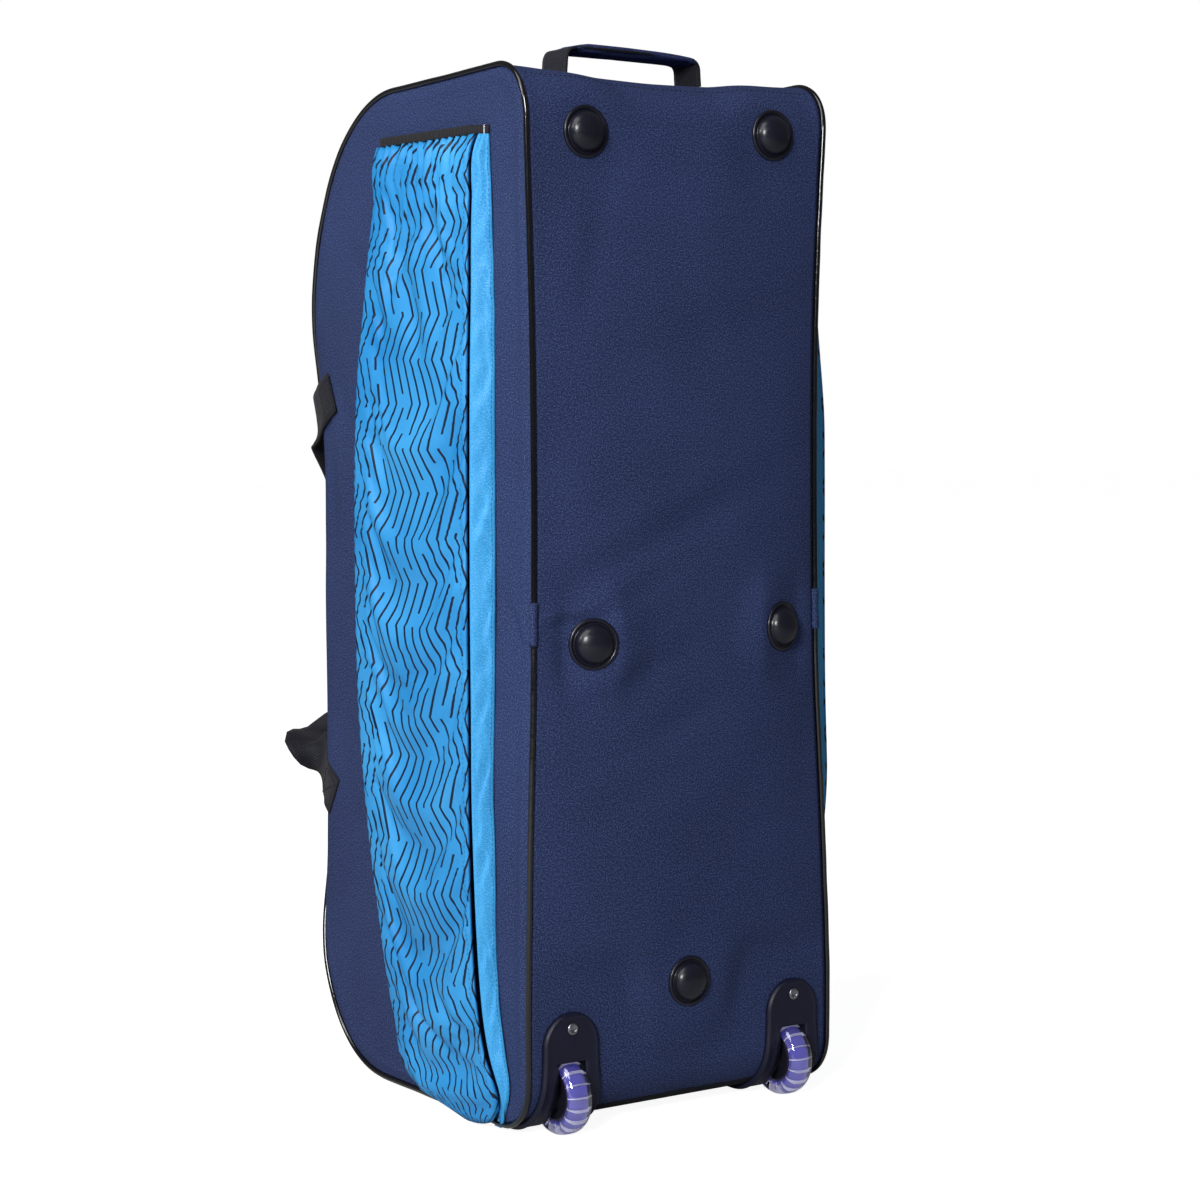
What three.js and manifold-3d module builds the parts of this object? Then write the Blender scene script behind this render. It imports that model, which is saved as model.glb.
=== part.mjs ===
// Wheeled cricket kit bag, standing on its wheel end.
// Millimetres: Z runs up the length of the bag, X across it, and the stiff base faces -Y.

import * as THREE from 'three';
import { mergeVertices } from 'three/addons/utils/BufferGeometryUtils.js';
import Module from 'manifold-3d';

const wasm = await Module();
wasm.setup();

// Body of the bag
const bagLength = 907;
const bagDepth = 375;
const bagHalfWidth = 160;
const seamHeight = 8;
const baseY = -179;
const topRise = 6;
const topSag = 7;
const baseSwell = 13;
const lidSwell = 9;
const endSwell = 6;
const floorSag = 18;
const sideSwell = 11;
const rollIn = 24;
const rollDepth = 40;
const rollPower = 2.2;
const waistReach = 0.4;

// Walls and seams
const baseThickness = 4;
const clothThickness = 1.8;
const pocketThickness = 1.5;
const gap = 0.3;
const pipingRadius = 2.5;
const wrapLength = 33;
const wrapHeight = 423;
const zipWidth = 34;
const zipThickness = 2.4;

// Studs that the bag rests on when it lies down
const footRadius = 22.5;
const footHeight = 12;

// Wheels and their housings
const wheelRadius = 35;
const wheelWidth = 24;
const wheelSetback = 13;
const tyreDepth = 13;
const tyreShoulder = 6;
const axleRadius = 4;
const wheelClearance = 3;
const cheekThickness = 2.6;
const cheekClearance = 1.6;
const housingHeight = 102;
const housingWidth = 58;
const housingInset = 3.3;
const housingTip = 4;
const housingFlare = 8;
const housingUnder = 58;
const housingThickness = 4;
const rivetRadius = 4.2;
const rivetHeight = 1.8;
const rivetDrop = 10;
const clothHold = 20;
const wellSides = 24;

// Pull handle on the top end
const handleSpan = 134;
const handleWebbing = 38;
const handleRise = 26;
const handleSetback = 90;
const webbingThickness = 2;
const gripThickness = 9;
const gripOverhang = 2;

// Carry handles over the lid
const carryWebbing = 40;
const carryLift = 1.2;
const carrySteps = 2;

// Side pockets
const pocketDepthLeft = 24;
const pocketDepthRight = 52;
const pocketSeam = 0.8;
const pocketTuck = 1;
const mouthGap = 11;
const bindingHeight = 10;
const bindingThickness = 2.6;
const gatherDepth = 2.2;
const gatherCount = 5;

const lidY = baseY + bagDepth;
const bagTop = seamHeight + bagLength;
const seamInset = pipingRadius + gap;

// Each corner of the side panel's outline, as shares of the bag's depth and length
const CORNERS = {
  baseBottom: { deep: 0.120, tall: 0.050, power: 2.2, steps: 6 },
  baseTop: { deep: 0.115, tall: 0.053, power: 2.2, steps: 6 },
  lidTop: { deep: 0.440, tall: 0.290, power: 2.2, steps: 9 },
  lidBottom: { deep: 0.370, tall: 0.269, power: 2.45, steps: 9 },
};

// Half width of each side at the base, as a share of the bag's half width
const WAIST = [
  { up: 0.00, left: 1.010, right: 1.050 },
  { up: 0.12, left: 1.010, right: 1.050 },
  { up: 0.28, left: 0.995, right: 1.005 },
  { up: 0.42, left: 0.975, right: 0.955 },
  { up: 0.60, left: 0.970, right: 0.935 },
  { up: 0.76, left: 0.980, right: 0.935 },
  { up: 0.90, left: 1.005, right: 0.965 },
  { up: 1.00, left: 1.020, right: 1.000 },
];

// How far the side rolls over towards the lid, as a share of the full roll
const ROLL = [
  { up: 0.00, roll: 0.00 },
  { up: 0.08, roll: 0.00 },
  { up: 0.18, roll: 0.60 },
  { up: 0.30, roll: 0.90 },
  { up: 0.60, roll: 0.90 },
  { up: 0.70, roll: 0.40 },
  { up: 0.80, roll: 0.00 },
  { up: 1.00, roll: 0.00 },
];

// Places of the studs as shares of the half width and the length, and their tilt in degrees
const FEET = [
  { name: 'foot_top_left', across: -0.645, up: 0.944, tilt: 0 },
  { name: 'foot_top_right', across: 0.615, up: 0.952, tilt: 0 },
  { name: 'foot_middle_left', across: -0.625, up: 0.464, tilt: -18 },
  { name: 'foot_middle_right', across: 0.665, up: 0.470, tilt: 16 },
  { name: 'foot_bottom', across: 0.030, up: 0.127, tilt: 0 },
];

// Sections of a side pocket from its mouth down. up is a share of the bag's length, the places across
// are shares of the bag's depth from the base, and the outs are shares of the pocket's depth.
const POCKET = [
  { up: 0.943, baseSeam: 0.144, fold: 0.163, crown: 0.600, lidSeam: 0.619, foldOut: 0.00, crownOut: 0.00 },
  { up: 0.920, baseSeam: 0.140, fold: 0.168, crown: 0.602, lidSeam: 0.618, foldOut: 0.38, crownOut: 0.30 },
  { up: 0.893, baseSeam: 0.136, fold: 0.173, crown: 0.605, lidSeam: 0.616, foldOut: 0.60, crownOut: 0.48 },
  { up: 0.794, baseSeam: 0.128, fold: 0.163, crown: 0.615, lidSeam: 0.621, foldOut: 0.80, crownOut: 0.75 },
  { up: 0.694, baseSeam: 0.128, fold: 0.163, crown: 0.621, lidSeam: 0.627, foldOut: 0.87, crownOut: 1.00 },
  { up: 0.502, baseSeam: 0.128, fold: 0.163, crown: 0.621, lidSeam: 0.627, foldOut: 0.87, crownOut: 1.04 },
  { up: 0.387, baseSeam: 0.130, fold: 0.160, crown: 0.615, lidSeam: 0.621, foldOut: 0.85, crownOut: 1.00 },
  { up: 0.286, baseSeam: 0.132, fold: 0.157, crown: 0.600, lidSeam: 0.608, foldOut: 0.83, crownOut: 0.88 },
  { up: 0.185, baseSeam: 0.134, fold: 0.155, crown: 0.570, lidSeam: 0.579, foldOut: 0.75, crownOut: 0.75 },
  { up: 0.112, baseSeam: 0.120, fold: 0.144, crown: 0.547, lidSeam: 0.560, foldOut: 0.67, crownOut: 0.62 },
  { up: 0.068, baseSeam: 0.099, fold: 0.125, crown: 0.525, lidSeam: 0.539, foldOut: 0.58, crownOut: 0.54 },
  { up: 0.038, baseSeam: 0.085, fold: 0.104, crown: 0.505, lidSeam: 0.520, foldOut: 0.38, crownOut: 0.42 },
  { up: 0.018, baseSeam: 0.091, fold: 0.106, crown: 0.435, lidSeam: 0.451, foldOut: 0.22, crownOut: 0.28 },
  { up: 0.007, baseSeam: 0.117, fold: 0.128, crown: 0.280, lidSeam: 0.300, foldOut: 0.08, crownOut: 0.08 },
];

// Route of a carry handle: out is a share of the half width, deep of the depth and up of the length.
// Where out is zero the webbing lies on the side panel. turn is the webbing's angle in degrees.
const CARRY = [
  { out: 0.000, deep: 0.866, up: 0.701, turn: -26 },
  { out: 0.000, deep: 0.900, up: 0.694, turn: -26 },
  { out: 0.000, deep: 0.934, up: 0.686, turn: -24 },
  { out: 0.965, deep: 0.998, up: 0.672, turn: -15 },
  { out: 0.830, deep: 1.045, up: 0.650, turn: 0 },
  { out: 0.680, deep: 1.070, up: 0.605, turn: 0 },
  { out: 0.560, deep: 1.080, up: 0.530, turn: 0 },
  { out: 0.560, deep: 1.080, up: 0.450, turn: 0 },
  { out: 0.660, deep: 1.088, up: 0.395, turn: 0 },
  { out: 0.800, deep: 1.092, up: 0.350, turn: 0 },
  { out: 0.930, deep: 1.068, up: 0.325, turn: 8 },
  { out: 1.000, deep: 1.008, up: 0.302, turn: 14 },
  { out: 0.000, deep: 0.948, up: 0.285, turn: 18 },
  { out: 0.000, deep: 0.914, up: 0.275, turn: 18 },
  { out: 0.000, deep: 0.880, up: 0.266, turn: 18 },
];

const navyFabric = new THREE.MeshStandardMaterial({ color: 0x2b3357, roughness: 0.9, metalness: 0 });
const blackFabric = new THREE.MeshStandardMaterial({ color: 0x1c1d26, roughness: 0.9, metalness: 0 });
const blueFabric = new THREE.MeshStandardMaterial({ color: 0x2d9be3, roughness: 0.6, metalness: 0 });
const blackWebbing = new THREE.MeshStandardMaterial({ color: 0x2b2a30, roughness: 0.8, metalness: 0 });
const pipingCord = new THREE.MeshStandardMaterial({ color: 0x14151c, roughness: 0.25, metalness: 0 });
const mouldedPlastic = new THREE.MeshStandardMaterial({ color: 0x24232e, roughness: 0.45, metalness: 0 });
const footPlastic = new THREE.MeshStandardMaterial({ color: 0x1c1d25, roughness: 0.35, metalness: 0 });
const steel = new THREE.MeshStandardMaterial({ color: 0xa9abb0, roughness: 0.3, metalness: 1 });
const tyrePlastic = new THREE.MeshStandardMaterial({ color: 0x5a5b8f, roughness: 0.15, metalness: 0 });
const hubPlastic = new THREE.MeshStandardMaterial({ color: 0x1b1a26, roughness: 0.5, metalness: 0 });

const bag = new THREE.Group();

function clamp01(value) {
  return Math.min(Math.max(value, 0), 1);
}

function smooth(value) {
  const t = clamp01(value);
  return t * t * (3 - 2 * t);
}

function upShare(z) {
  return clamp01((z - seamHeight) / bagLength);
}

// One column of a table at a height, on a smooth curve through its rows
function readTable(rows, column, up) {
  const high = rows[0].up < rows[rows.length - 1].up;
  const list = high ? rows : [...rows].reverse();
  const last = list.length - 1;
  const at = Math.min(Math.max(up, list[0].up), list[last].up);
  let i = 0;
  while (i < last - 1 && at > list[i + 1].up) {
    i += 1;
  }
  const slopeAt = (k) => {
    const a = list[Math.max(k - 1, 0)];
    const b = list[Math.min(k + 1, last)];
    return (b[column] - a[column]) / (b.up - a.up);
  };
  const span = list[i + 1].up - list[i].up;
  const t = (at - list[i].up) / span;
  const fromStart = (1 + 2 * t) * (1 - t) * (1 - t) * list[i][column];
  const fromEnd = t * t * (3 - 2 * t) * list[i + 1][column];
  const startSlope = t * (1 - t) * (1 - t) * span * slopeAt(i);
  const endSlope = t * t * (t - 1) * span * slopeAt(i + 1);
  return fromStart + fromEnd + startSlope + endSlope;
}

// Distance of a side's outer surface from the middle of the bag
function sideReach(side, y, z) {
  const up = upShare(z);
  const deep = clamp01((y - baseY) / bagDepth);
  const rolled = Math.pow(clamp01((y - lidY + rollDepth) / rollDepth), rollPower);
  const swell = Math.pow(16 * deep * (1 - deep) * up * (1 - up), 0.8);
  const waist = (readTable(WAIST, side, up) - 1) * (1 - smooth(deep / waistReach));
  return bagHalfWidth * (1 + waist) - rollIn * readTable(ROLL, 'roll', up) * rolled + sideSwell * swell;
}

function signOf(side) {
  return side === 'left' ? -1 : 1;
}

// Outline of a side panel, as points with outward directions, from the seam under the base corner,
// up the base, over the top, down the lid and back along the bottom
function cornerPoints(corner, middleY, middleZ, from, to) {
  const points = [];
  for (let i = 0; i <= corner.steps; i += 1) {
    const angle = (Math.PI / 2) * (i / corner.steps);
    const a = Math.pow(Math.max(Math.cos(angle), 0), 2 / corner.power);
    const b = Math.pow(Math.sin(angle), 2 / corner.power);
    points.push({ y: middleY + from[0] * a + to[0] * b, z: middleZ + from[1] * a + to[1] * b });
  }
  return points;
}

function cornerSize(corner) {
  return { deep: corner.deep * bagDepth, tall: corner.tall * bagLength };
}

function straightPoints(start, end, steps) {
  const points = [];
  for (let i = 1; i < steps; i += 1) {
    const t = i / steps;
    points.push({ y: start.y + (end.y - start.y) * t, z: start.z + (end.z - start.z) * t });
  }
  return points;
}

const baseBottomSize = cornerSize(CORNERS.baseBottom);
const baseTopSize = cornerSize(CORNERS.baseTop);
const lidTopSize = cornerSize(CORNERS.lidTop);
const lidBottomSize = cornerSize(CORNERS.lidBottom);

const baseBottomCorner = cornerPoints(CORNERS.baseBottom, baseY + baseBottomSize.deep,
  seamHeight + baseBottomSize.tall, [0, -baseBottomSize.tall], [-baseBottomSize.deep, 0]);
const baseTopCorner = cornerPoints(CORNERS.baseTop, baseY + baseTopSize.deep,
  bagTop + topRise - baseTopSize.tall, [-baseTopSize.deep, 0], [0, baseTopSize.tall]);
const lidTopCorner = cornerPoints(CORNERS.lidTop, lidY - lidTopSize.deep,
  bagTop - lidTopSize.tall, [0, lidTopSize.tall], [lidTopSize.deep, 0]);
const lidBottomCorner = cornerPoints(CORNERS.lidBottom, lidY - lidBottomSize.deep,
  seamHeight + lidBottomSize.tall, [lidBottomSize.deep, 0], [0, -lidBottomSize.tall]);

const wrapBottom = { y: baseY, z: seamHeight + wrapHeight };
const wrapTop = { y: baseY, z: seamHeight + wrapHeight + wrapLength };
const baseSeamStep = 3;
const floorSeamStep = 6;

const baseStart = baseBottomCorner[baseBottomCorner.length - 1];
const baseEnd = baseTopCorner[0];
const outlineParts = [
  baseBottomCorner.slice(baseSeamStep),
  straightPoints(baseStart, wrapBottom, 6),
  [wrapBottom, wrapTop],
  straightPoints(wrapTop, baseEnd, 6),
  baseTopCorner,
  straightPoints(baseTopCorner[baseTopCorner.length - 1], lidTopCorner[0], 4),
  lidTopCorner,
  straightPoints(lidTopCorner[lidTopCorner.length - 1], lidBottomCorner[0], 5),
  lidBottomCorner,
  straightPoints(lidBottomCorner[lidBottomCorner.length - 1], baseBottomCorner[0], 6),
  baseBottomCorner.slice(0, baseSeamStep),
];
const outline = outlineParts.flat();
outline.forEach((point, i) => {
  const before = outline[(i + outline.length - 1) % outline.length];
  const after = outline[(i + 1) % outline.length];
  const runY = after.y - before.y;
  const runZ = after.z - before.z;
  const run = Math.hypot(runY, runZ);
  point.outY = -runZ / run;
  point.outZ = runY / run;
});
const topSeam = outline.indexOf(baseTopCorner[baseTopCorner.length - 1]);
const lidSeam = outline.indexOf(lidTopCorner[1]);
const floorSeam = outline.indexOf(lidBottomCorner[floorSeamStep]);
const wrapStart = outline.indexOf(wrapBottom);

// Closed surfaces
function tidy(geometry) {
  const bare = geometry.clone();
  bare.deleteAttribute('normal');
  bare.deleteAttribute('uv');
  const merged = mergeVertices(bare, 1e-4);
  const spots = merged.attributes.position;
  const corners = merged.index.array;
  const kept = [];
  let volume = 0;
  const a = new THREE.Vector3();
  const b = new THREE.Vector3();
  const c = new THREE.Vector3();
  for (let i = 0; i < corners.length; i += 3) {
    const [p, q, r] = [corners[i], corners[i + 1], corners[i + 2]];
    if (p !== q && q !== r && p !== r) {
      kept.push(p, q, r);
      a.fromBufferAttribute(spots, p);
      b.fromBufferAttribute(spots, q);
      c.fromBufferAttribute(spots, r);
      volume += a.dot(b.cross(c));
    }
  }
  if (volume < 0) {
    for (let i = 0; i < kept.length; i += 3) {
      [kept[i], kept[i + 1]] = [kept[i + 1], kept[i]];
    }
  }
  merged.setIndex(kept);
  merged.computeVertexNormals();
  return merged;
}

function fromTriangles(points, triangles) {
  const geometry = new THREE.BufferGeometry();
  geometry.setAttribute('position', new THREE.Float32BufferAttribute(points.flatMap((p) => [p.x, p.y, p.z]), 3));
  geometry.setIndex(triangles);
  return tidy(geometry);
}

function toSolid(geometry) {
  const clean = tidy(geometry);
  return new wasm.Manifold(new wasm.Mesh({
    numProp: 3,
    vertProperties: new Float32Array(clean.attributes.position.array),
    triVerts: new Uint32Array(clean.index.array),
  }));
}

function fromSolid(solid) {
  const mesh = solid.getMesh();
  const geometry = new THREE.BufferGeometry();
  geometry.setAttribute('position', new THREE.BufferAttribute(new Float32Array(mesh.vertProperties), 3));
  geometry.setIndex(new THREE.BufferAttribute(new Uint32Array(mesh.triVerts), 1));
  geometry.computeVertexNormals();
  return geometry;
}

// A wall between two grids of points with the same rows and columns
function wallBetween(outer, inner) {
  const rows = outer.length;
  const columns = outer[0].length;
  const points = [...outer.flat(), ...inner.flat()];
  const triangles = [];
  const at = (layer, i, j) => layer * rows * columns + i * columns + j;
  const quad = (a, b, c, d) => triangles.push(a, b, c, a, c, d);
  for (let i = 0; i + 1 < rows; i += 1) {
    for (let j = 0; j + 1 < columns; j += 1) {
      quad(at(0, i, j), at(0, i + 1, j), at(0, i + 1, j + 1), at(0, i, j + 1));
      quad(at(1, i, j), at(1, i, j + 1), at(1, i + 1, j + 1), at(1, i + 1, j));
    }
    quad(at(0, i, 0), at(1, i, 0), at(1, i + 1, 0), at(0, i + 1, 0));
    quad(at(0, i + 1, columns - 1), at(1, i + 1, columns - 1), at(1, i, columns - 1), at(0, i, columns - 1));
  }
  for (let j = 0; j + 1 < columns; j += 1) {
    quad(at(0, 0, j + 1), at(1, 0, j + 1), at(1, 0, j), at(0, 0, j));
    quad(at(0, rows - 1, j), at(1, rows - 1, j), at(1, rows - 1, j + 1), at(0, rows - 1, j + 1));
  }
  return fromTriangles(points, triangles);
}

// A solid through a row of sections with the same number of corners
function loft(sections, closed) {
  const sides = sections[0].length;
  const count = sections.length;
  const triangles = [];
  const at = (i, j) => (i % count) * sides + (j % sides);
  for (let i = 0; i + (closed ? 0 : 1) < count; i += 1) {
    for (let j = 0; j < sides; j += 1) {
      triangles.push(at(i, j), at(i, j + 1), at(i + 1, j + 1));
      triangles.push(at(i, j), at(i + 1, j + 1), at(i + 1, j));
    }
  }
  if (!closed) {
    for (let j = 1; j + 1 < sides; j += 1) {
      triangles.push(at(0, 0), at(0, j + 1), at(0, j));
      triangles.push(at(count - 1, 0), at(count - 1, j), at(count - 1, j + 1));
    }
  }
  return fromTriangles(sections.flat(), triangles);
}

function disc(radius, width, x, y, z, sides) {
  const geometry = new THREE.CylinderGeometry(radius, radius, width, sides);
  geometry.rotateZ(Math.PI / 2);
  geometry.translate(x, y, z);
  return geometry;
}

function addPiece(name, geometry, material) {
  const piece = new THREE.Mesh(geometry, material);
  piece.name = name;
  bag.add(piece);
  return piece;
}

const wheelY = baseY + wheelSetback;
const wheelZ = wheelRadius;
const wells = ['left', 'right'].map((side) => {
  const inside = pipingRadius + housingInset + housingFlare + housingWidth / 2;
  return { side, x: signOf(side) * (sideReach(side, baseY, seamHeight) - inside) };
});
const cavityRadius = wheelRadius + wheelClearance;
const cavityWidth = wheelWidth + 2 * cheekClearance;
const wellRadius = cavityRadius + cheekThickness;
const wellWidth = cavityWidth + 2 * cheekThickness;
const housingTop = seamHeight + housingHeight;
const housingBack = baseY + housingUnder;

// How firmly a wheel housing flattens the cloth near it, from 0 to 1
function housingHold(x, y, z) {
  let hold = 0;
  for (const well of wells) {
    const awayX = Math.max(Math.abs(x - well.x) - housingWidth / 2 - housingFlare, 0);
    const away = Math.hypot(awayX, Math.max(z - housingTop, 0), Math.max(y - housingBack, 0));
    hold = Math.max(hold, 1 - smooth((away - clothHold) / (2 * clothHold)));
  }
  return hold;
}

// Studs: where each one sits on the swollen base
function plainBaseSwell(across, z) {
  const along = clamp01((z - baseStart.z) / (baseEnd.z - baseStart.z));
  const crown = (1 - Math.pow(Math.abs(across), 2.5)) * Math.pow(Math.sin(Math.PI * along), 0.6);
  const dip = (1 - across * across) * smooth((z - baseEnd.z) / baseTopSize.tall);
  return baseSwell * crown - topSag * dip;
}

const feet = FEET.map((row) => {
  const x = row.across * bagHalfWidth;
  const z = seamHeight + row.up * bagLength;
  const side = row.across < 0 ? 'left' : 'right';
  const swell = plainBaseSwell(x / sideReach(side, baseY, z), z);
  return { ...row, x, z, swell, slope: Math.tan(THREE.MathUtils.degToRad(Math.abs(row.tilt))) };
});

// The cloth under each stud is pulled flat against it and eases back round it
function baseSwellAt(across, x, z) {
  let swell = plainBaseSwell(across, z) * (1 - housingHold(x, baseY, z));
  for (const foot of feet) {
    const away = Math.hypot(x - foot.x, z - foot.z);
    const hold = smooth((2.4 * footRadius - away) / (1.2 * footRadius));
    const leaning = -Math.sign(foot.across) * foot.slope * (x - foot.x);
    swell += hold * (foot.swell + leaning - swell);
  }
  return swell;
}

// Strips of the body that run from side to side between two points of the outline
function stripRows(first, last, longestStep) {
  const rows = [];
  for (let i = first; i <= last; i += 1) {
    const a = outline[i % outline.length];
    const b = outline[(i + 1) % outline.length];
    const split = i === last ? 1 : Math.ceil(Math.hypot(b.y - a.y, b.z - a.z) / longestStep);
    for (let k = 0; k < split; k += 1) {
      const row = {};
      for (const key of ['y', 'z', 'outY', 'outZ']) {
        row[key] = a[key] + (b[key] - a[key]) * (k / split);
      }
      row.along = (i - first + k / split) / (last - first);
      rows.push(row);
    }
  }
  const count = rows.length - 1;
  const ease = (row, next) => {
    const run = Math.hypot(next.y - row.y, next.z - row.z);
    row.y += (next.y - row.y) * (gap / 2 / run);
    row.z += (next.z - row.z) * (gap / 2 / run);
  };
  ease(rows[0], rows[1]);
  ease(rows[count], rows[count - 1]);
  return rows;
}

function stripPanel(rows, columns, thickness, from, to, swellAt) {
  const outer = [];
  const inner = [];
  for (const row of rows) {
    const left = -(sideReach('left', row.y, row.z) - seamInset);
    const right = sideReach('right', row.y, row.z) - seamInset;
    const start = from === undefined ? left : from;
    const end = to === undefined ? right : to;
    const outerRow = [];
    const innerRow = [];
    for (let j = 0; j <= columns; j += 1) {
      const x = start + (end - start) * (j / columns);
      const across = x < 0 ? x / -left : x / right;
      const swell = swellAt(across, x, row);
      const y = row.y + row.outY * swell;
      const z = Math.max(row.z + row.outZ * swell, 0);
      outerRow.push(new THREE.Vector3(x, y, z));
      innerRow.push(new THREE.Vector3(x, y - row.outY * thickness, z - row.outZ * thickness));
    }
    outer.push(outerRow);
    inner.push(innerRow);
  }
  return wallBetween(outer, inner);
}

function lidSwellAt(across, x, row) {
  return lidSwell * (1 - across * across) * Math.pow(Math.sin(Math.PI * row.along), 0.7);
}

// The base and the bottom end are cut away round the wheel wells
function cutForWells(geometry) {
  let solid = toSolid(geometry);
  for (const well of wells) {
    const room = disc(wellRadius + gap, wellWidth + 2 * gap, well.x, wheelY, wheelZ, wellSides);
    solid = solid.subtract(toSolid(room));
  }
  return solid;
}

function footPlace(foot, geometry, lift) {
  geometry.translate(0, lift, 0);
  geometry.rotateX(Math.PI);
  geometry.rotateZ(THREE.MathUtils.degToRad(foot.tilt));
  geometry.translate(foot.x, baseY - foot.swell, foot.z);
  return geometry;
}

const baseRows = stripRows(0, topSeam, 0.05 * bagLength);
let baseSolid = cutForWells(stripPanel(baseRows, 10, baseThickness, undefined, undefined,
  (across, x, row) => baseSwellAt(across, x, row.z)));
for (const foot of feet) {
  const room = new THREE.CylinderGeometry(footRadius + 1, footRadius + 1, 2 * footHeight, 16);
  baseSolid = baseSolid.subtract(toSolid(footPlace(foot, room, footHeight)));
}
addPiece('base_panel', fromSolid(baseSolid), navyFabric);

function topSwellAt(across, x, row) {
  return (1 - across * across) * (endSwell * Math.sin(Math.PI * row.along) - topSag * (1 - row.along));
}

const topRows = stripRows(topSeam, lidSeam, bagLength);
addPiece('top_end_panel', stripPanel(topRows, 8, clothThickness, undefined, undefined, topSwellAt), navyFabric);

// Height of the top end's surface
function topEndHeight(x, y) {
  let k = 0;
  while (k < topRows.length - 2 && y > topRows[k + 1].y) {
    k += 1;
  }
  const a = topRows[k];
  const b = topRows[k + 1];
  const t = (y - a.y) / (b.y - a.y);
  const row = { z: a.z + (b.z - a.z) * t, along: a.along + (b.along - a.along) * t };
  return row.z + topSwellAt(x / sideReach(x < 0 ? 'left' : 'right', y, row.z), x, row);
}

const lidRows = stripRows(lidSeam, floorSeam, bagLength);
addPiece('lid_panel_left', stripPanel(lidRows, 3, clothThickness, undefined, -zipWidth / 2 - gap, lidSwellAt),
  navyFabric);
addPiece('lid_panel_right', stripPanel(lidRows, 3, clothThickness, zipWidth / 2 + gap, undefined, lidSwellAt),
  navyFabric);
addPiece('lid_zip', stripPanel(lidRows, 1, zipThickness, -zipWidth / 2, zipWidth / 2, lidSwellAt),
  blackFabric);

const floorPanel = stripPanel(stripRows(floorSeam, outline.length, bagLength), 8, clothThickness, undefined, undefined,
  (across, x, row) => floorSag * (1 - Math.pow(Math.abs(across), 4))
    * smooth(row.along / 0.2) * smooth((0.7 - row.along) / 0.3) * (1 - housingHold(x, row.y, seamHeight)));
addPiece('bottom_end_panel', fromSolid(cutForWells(floorPanel)), blackFabric);

// Side panels: the outline drawn in a little, with rings of points towards the middle
const ringShares = [1, 0.95, 0.84, 0.58];

function sidePanel(side) {
  const rim = outline.map((point) => {
    const insideY = point.y - point.outY;
    const insideZ = point.z - point.outZ;
    const lean = sideReach(side, point.y, point.z) - sideReach(side, insideY, insideZ);
    const inset = seamInset / Math.hypot(1, lean);
    return { y: point.y - point.outY * inset, z: point.z - point.outZ * inset };
  });
  const middleY = (baseY + lidY) / 2;
  const lowest = seamHeight + bagLength * 0.22;
  const highest = seamHeight + bagLength * 0.78;
  const spots = [];
  for (const share of ringShares) {
    for (const point of rim) {
      const middleZ = Math.min(Math.max(point.z, lowest), highest);
      spots.push({ y: middleY + (point.y - middleY) * share, z: middleZ + (point.z - middleZ) * share });
    }
  }
  const count = rim.length;
  const face = [];
  for (let ring = 0; ring + 1 < ringShares.length; ring += 1) {
    for (let i = 0; i < count; i += 1) {
      const next = (i + 1) % count;
      const a = ring * count + i;
      const b = ring * count + next;
      face.push(a, b, b + count, a, b + count, a + count);
    }
  }
  const centre = (ringShares.length - 1) * count;
  const lastRing = spots.slice(centre).map((spot) => new THREE.Vector2(spot.y, spot.z));
  const cap = THREE.ShapeUtils.triangulateShape(lastRing, []);
  const area = cap.reduce((sum, corners) => sum + THREE.ShapeUtils.area(corners.map((k) => lastRing[k])), 0);
  for (const [a, b, c] of cap) {
    face.push(centre + a, centre + (area < 0 ? b : c), centre + (area < 0 ? c : b));
  }
  const outer = spots.map((s) => new THREE.Vector3(signOf(side) * sideReach(side, s.y, s.z), s.y, s.z));
  const inner = spots.map((s) => {
    const slopeY = sideReach(side, s.y + 0.5, s.z) - sideReach(side, s.y - 0.5, s.z);
    const slopeZ = sideReach(side, s.y, s.z + 0.5) - sideReach(side, s.y, s.z - 0.5);
    const length = Math.hypot(1, slopeY, slopeZ);
    return new THREE.Vector3(
      signOf(side) * (sideReach(side, s.y, s.z) - clothThickness / length),
      s.y + clothThickness * slopeY / length,
      s.z + clothThickness * slopeZ / length,
    );
  });
  const turned = [];
  for (let i = 0; i < face.length; i += 3) {
    turned.push(face[i] + spots.length, face[i + 2] + spots.length, face[i + 1] + spots.length);
  }
  const edge = [];
  for (let i = 0; i < count; i += 1) {
    const next = (i + 1) % count;
    edge.push(i, i + spots.length, next + spots.length, i, next + spots.length, next);
  }
  return fromTriangles([...outer, ...inner], [...face, ...turned, ...edge]);
}

// Piping: a round cord along the outline, its ends hidden by a fabric wrap on the base edge
function pipingSection(side, i, shift) {
  const count = outline.length;
  const here = outline[i % count];
  const spot = (k) => {
    const point = outline[(k + count) % count];
    return new THREE.Vector3(signOf(side) * sideReach(side, point.y, point.z), point.y, point.z);
  };
  const along = spot(i + 1).sub(spot(i - 1)).normalize();
  const out = new THREE.Vector3(0, here.outY, here.outZ);
  const across = new THREE.Vector3().crossVectors(along, out).normalize();
  const lift = new THREE.Vector3().crossVectors(across, along).normalize();
  const middle = spot(i).addScaledVector(along, shift);
  const corners = [];
  for (let k = 0; k < 6; k += 1) {
    const angle = (Math.PI / 3) * (k + 0.5);
    corners.push(middle.clone()
      .addScaledVector(across, pipingRadius * Math.cos(angle))
      .addScaledVector(lift, pipingRadius * Math.sin(angle)));
  }
  return corners;
}

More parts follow.
